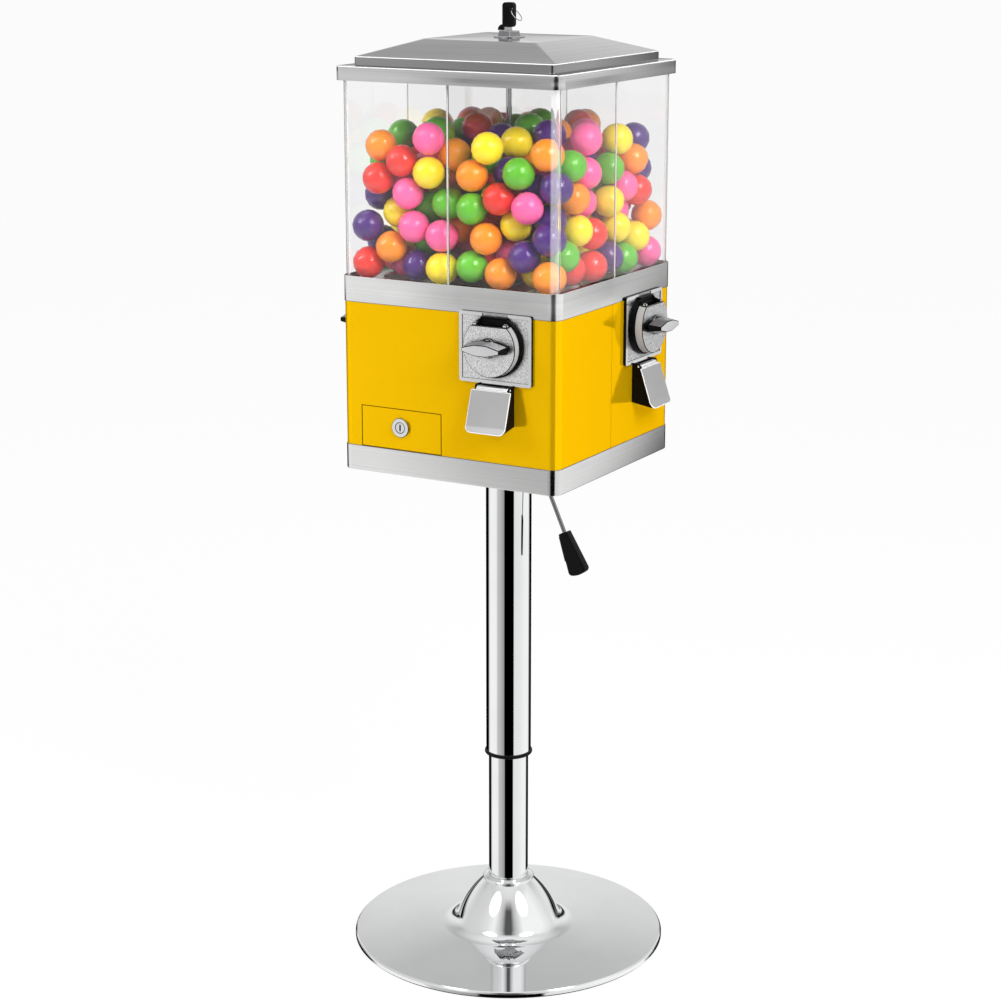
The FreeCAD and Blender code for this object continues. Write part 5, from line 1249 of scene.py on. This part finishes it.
@dataclass
class Dispensers(SubAssembly):
    """Coin mechanisms, chutes and flaps of the four sides."""

    unit_across: float = 66.7
    plate_edge: float = 0.5
    field_out: float = 149.1
    rim_out: float = 149.9
    collar_radius: float = 36.5
    collar_margin: float = 0.5
    dial_height: float = 800.5
    dial_edge: float = 0.8
    dial_out: float = 164.4
    dial_middle: float = 157.9
    flat_height: float = 825.5
    bar_end: float = 24.0
    face_margin: float = 0.3
    step_margin: float = 0.2
    slot_top: float = 834.5
    slot_half: float = 16.8
    slot_margin: float = 1.0
    slot_depth: Pair = (149.2, 153.5)
    slot_lip: float = 1.2
    slot_sink: float = 1.7
    flap_edge: float = 1.0

    def build(self) -> None:
        """Dresses the four dispensers and what drives them."""
        self.refine("coin_plates", "head", "cast_chrome", Edges(self.plate_edge), CAST_CHROME, SPECKLED,
                    BLACK_AND_PAINTED_SHADE, choose=self.on_plate)
        self.build_coin_slots()
        self.dress(BLACK_AND_PAINTED_SHADE, "chutes")
        self.dress(WHITE_PLASTIC, "wheel_trays")
        # The dial's softened edges are black, a painted shade outline round its face.
        dial_edges = Edges(self.dial_edge, BLACK_AND_PAINTED_SHADE, clamped=False)
        # The flaps' softened edges carry a painted highlight.
        flap_edges = Edges(self.flap_edge, HIGHLIGHT_EDGE, clamped=False)
        for side in SIDES:
            self.refine(f"dial_{side}", f"dial_{side}", "cast_chrome", dial_edges, CAST_CHROME, SPECKLED,
                        BLACK_AND_PAINTED_SHADE, SATIN_SIDE_REFLECTION, LOCK_METAL, choose=self.on_dial)
            self.refine(f"flap_{side}", f"flap_{side}", "flap_steel", flap_edges, FLAP_STEEL, HIGHLIGHT_EDGE)
            self.dress(WHITE_PLASTIC, f"drive_pinion_{side}", f"wheel_{side}")

    def on_plate(self, spot: Spot) -> Finish:
        """Speckles the sunk field of a coin plate, and paints shade in black on its sides and on the collar
        round its dial.

        Args:
            spot: A face's spot.

        Returns:
            The face's finish.
        """
        from_dial = math.hypot(spot.across - self.unit_across, spot.height - self.dial_height)
        raised = spot.out > self.rim_out + self.face_margin
        # Painted shade: the raised collar round the dial and the plate's sides are black.
        if raised and from_dial < self.collar_radius + self.collar_margin or spot.is_side():
            return BLACK_AND_PAINTED_SHADE
        on_field = spot.faces_out() and abs(spot.out - self.field_out) < self.face_margin
        return SPECKLED if on_field else CAST_CHROME

    def on_dial(self, spot: Spot) -> Finish:
        """Speckles the face of a dial, gives its side a painted reflection in satin grey, paints shade in
        black on its horns, coin slot and the ends of its bar, and gives the bar's flanks dull plating.

        Args:
            spot: A face's spot.

        Returns:
            The face's finish.
        """
        from_middle = abs(spot.across - self.unit_across)
        if spot.faces_out() and abs(spot.out - self.dial_out) < self.face_margin:
            return SPECKLED
        in_slot = from_middle < self.slot_half + self.slot_margin
        over_flat = spot.height > self.flat_height + self.step_margin and (
            in_slot or spot.out < self.dial_middle + self.step_margin)
        on_bar = spot.out > self.dial_out + self.step_margin and spot.is_side()
        # Painted shade: the horns and coin slot over the flat and the ends of the bar are black.
        if over_flat or on_bar and from_middle > self.bar_end:
            return BLACK_AND_PAINTED_SHADE
        if on_bar:
            return LOCK_METAL
        # Painted reflection: the dial's side is satin grey.
        return SATIN_SIDE_REFLECTION if spot.is_side() and spot.out < self.dial_out else CAST_CHROME

    def build_coin_slots(self) -> None:
        """Builds the black channel that a coin slides into over each dial; its black also paints the shade in
        the slot's recess.
        """
        back, front = self.slot_depth
        low, high = self.flat_height, self.slot_top
        lip, sunk = self.slot_lip, front - self.slot_sink
        profile = [(back, low), (front, low), (front, low + lip), (sunk, low + 2 * lip),
                   (sunk, high - 2 * lip), (front, high - lip), (front, high), (back, high)]
        made = bmesh.new()
        for side in range(len(SIDES)):
            turn = Matrix.Rotation(math.radians(90.0 * side), 3, "Z")
            ends = []
            for across in (self.unit_across - self.slot_half, self.unit_across + self.slot_half):
                points = [Vector((across, -out, height)) * MM for out, height in profile]
                ends.append([made.verts.new(turn @ point) for point in points])
            bridge(made, *ends)
            made.faces.new(ends[0])
            made.faces.new(reversed(ends[1]))
        bmesh.ops.recalc_face_normals(made, faces=made.faces)
        mesh = plain_mesh(made, "coin_slots")
        seat(new_piece("coin_slot_channels", mesh, BLACK_AND_PAINTED_SHADE), "head", "black_plastic")


def main() -> None:
    """Loads the frame, and builds the studio and the machine."""
    logging.basicConfig(level=logging.INFO, format="%(message)s")
    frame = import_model()
    Studio().set_up()
    for assembly in (Stand, Housing, Hopper, Lid, Dispensers):
        assembly(frame).build()


if __name__ == "__main__":
    main()
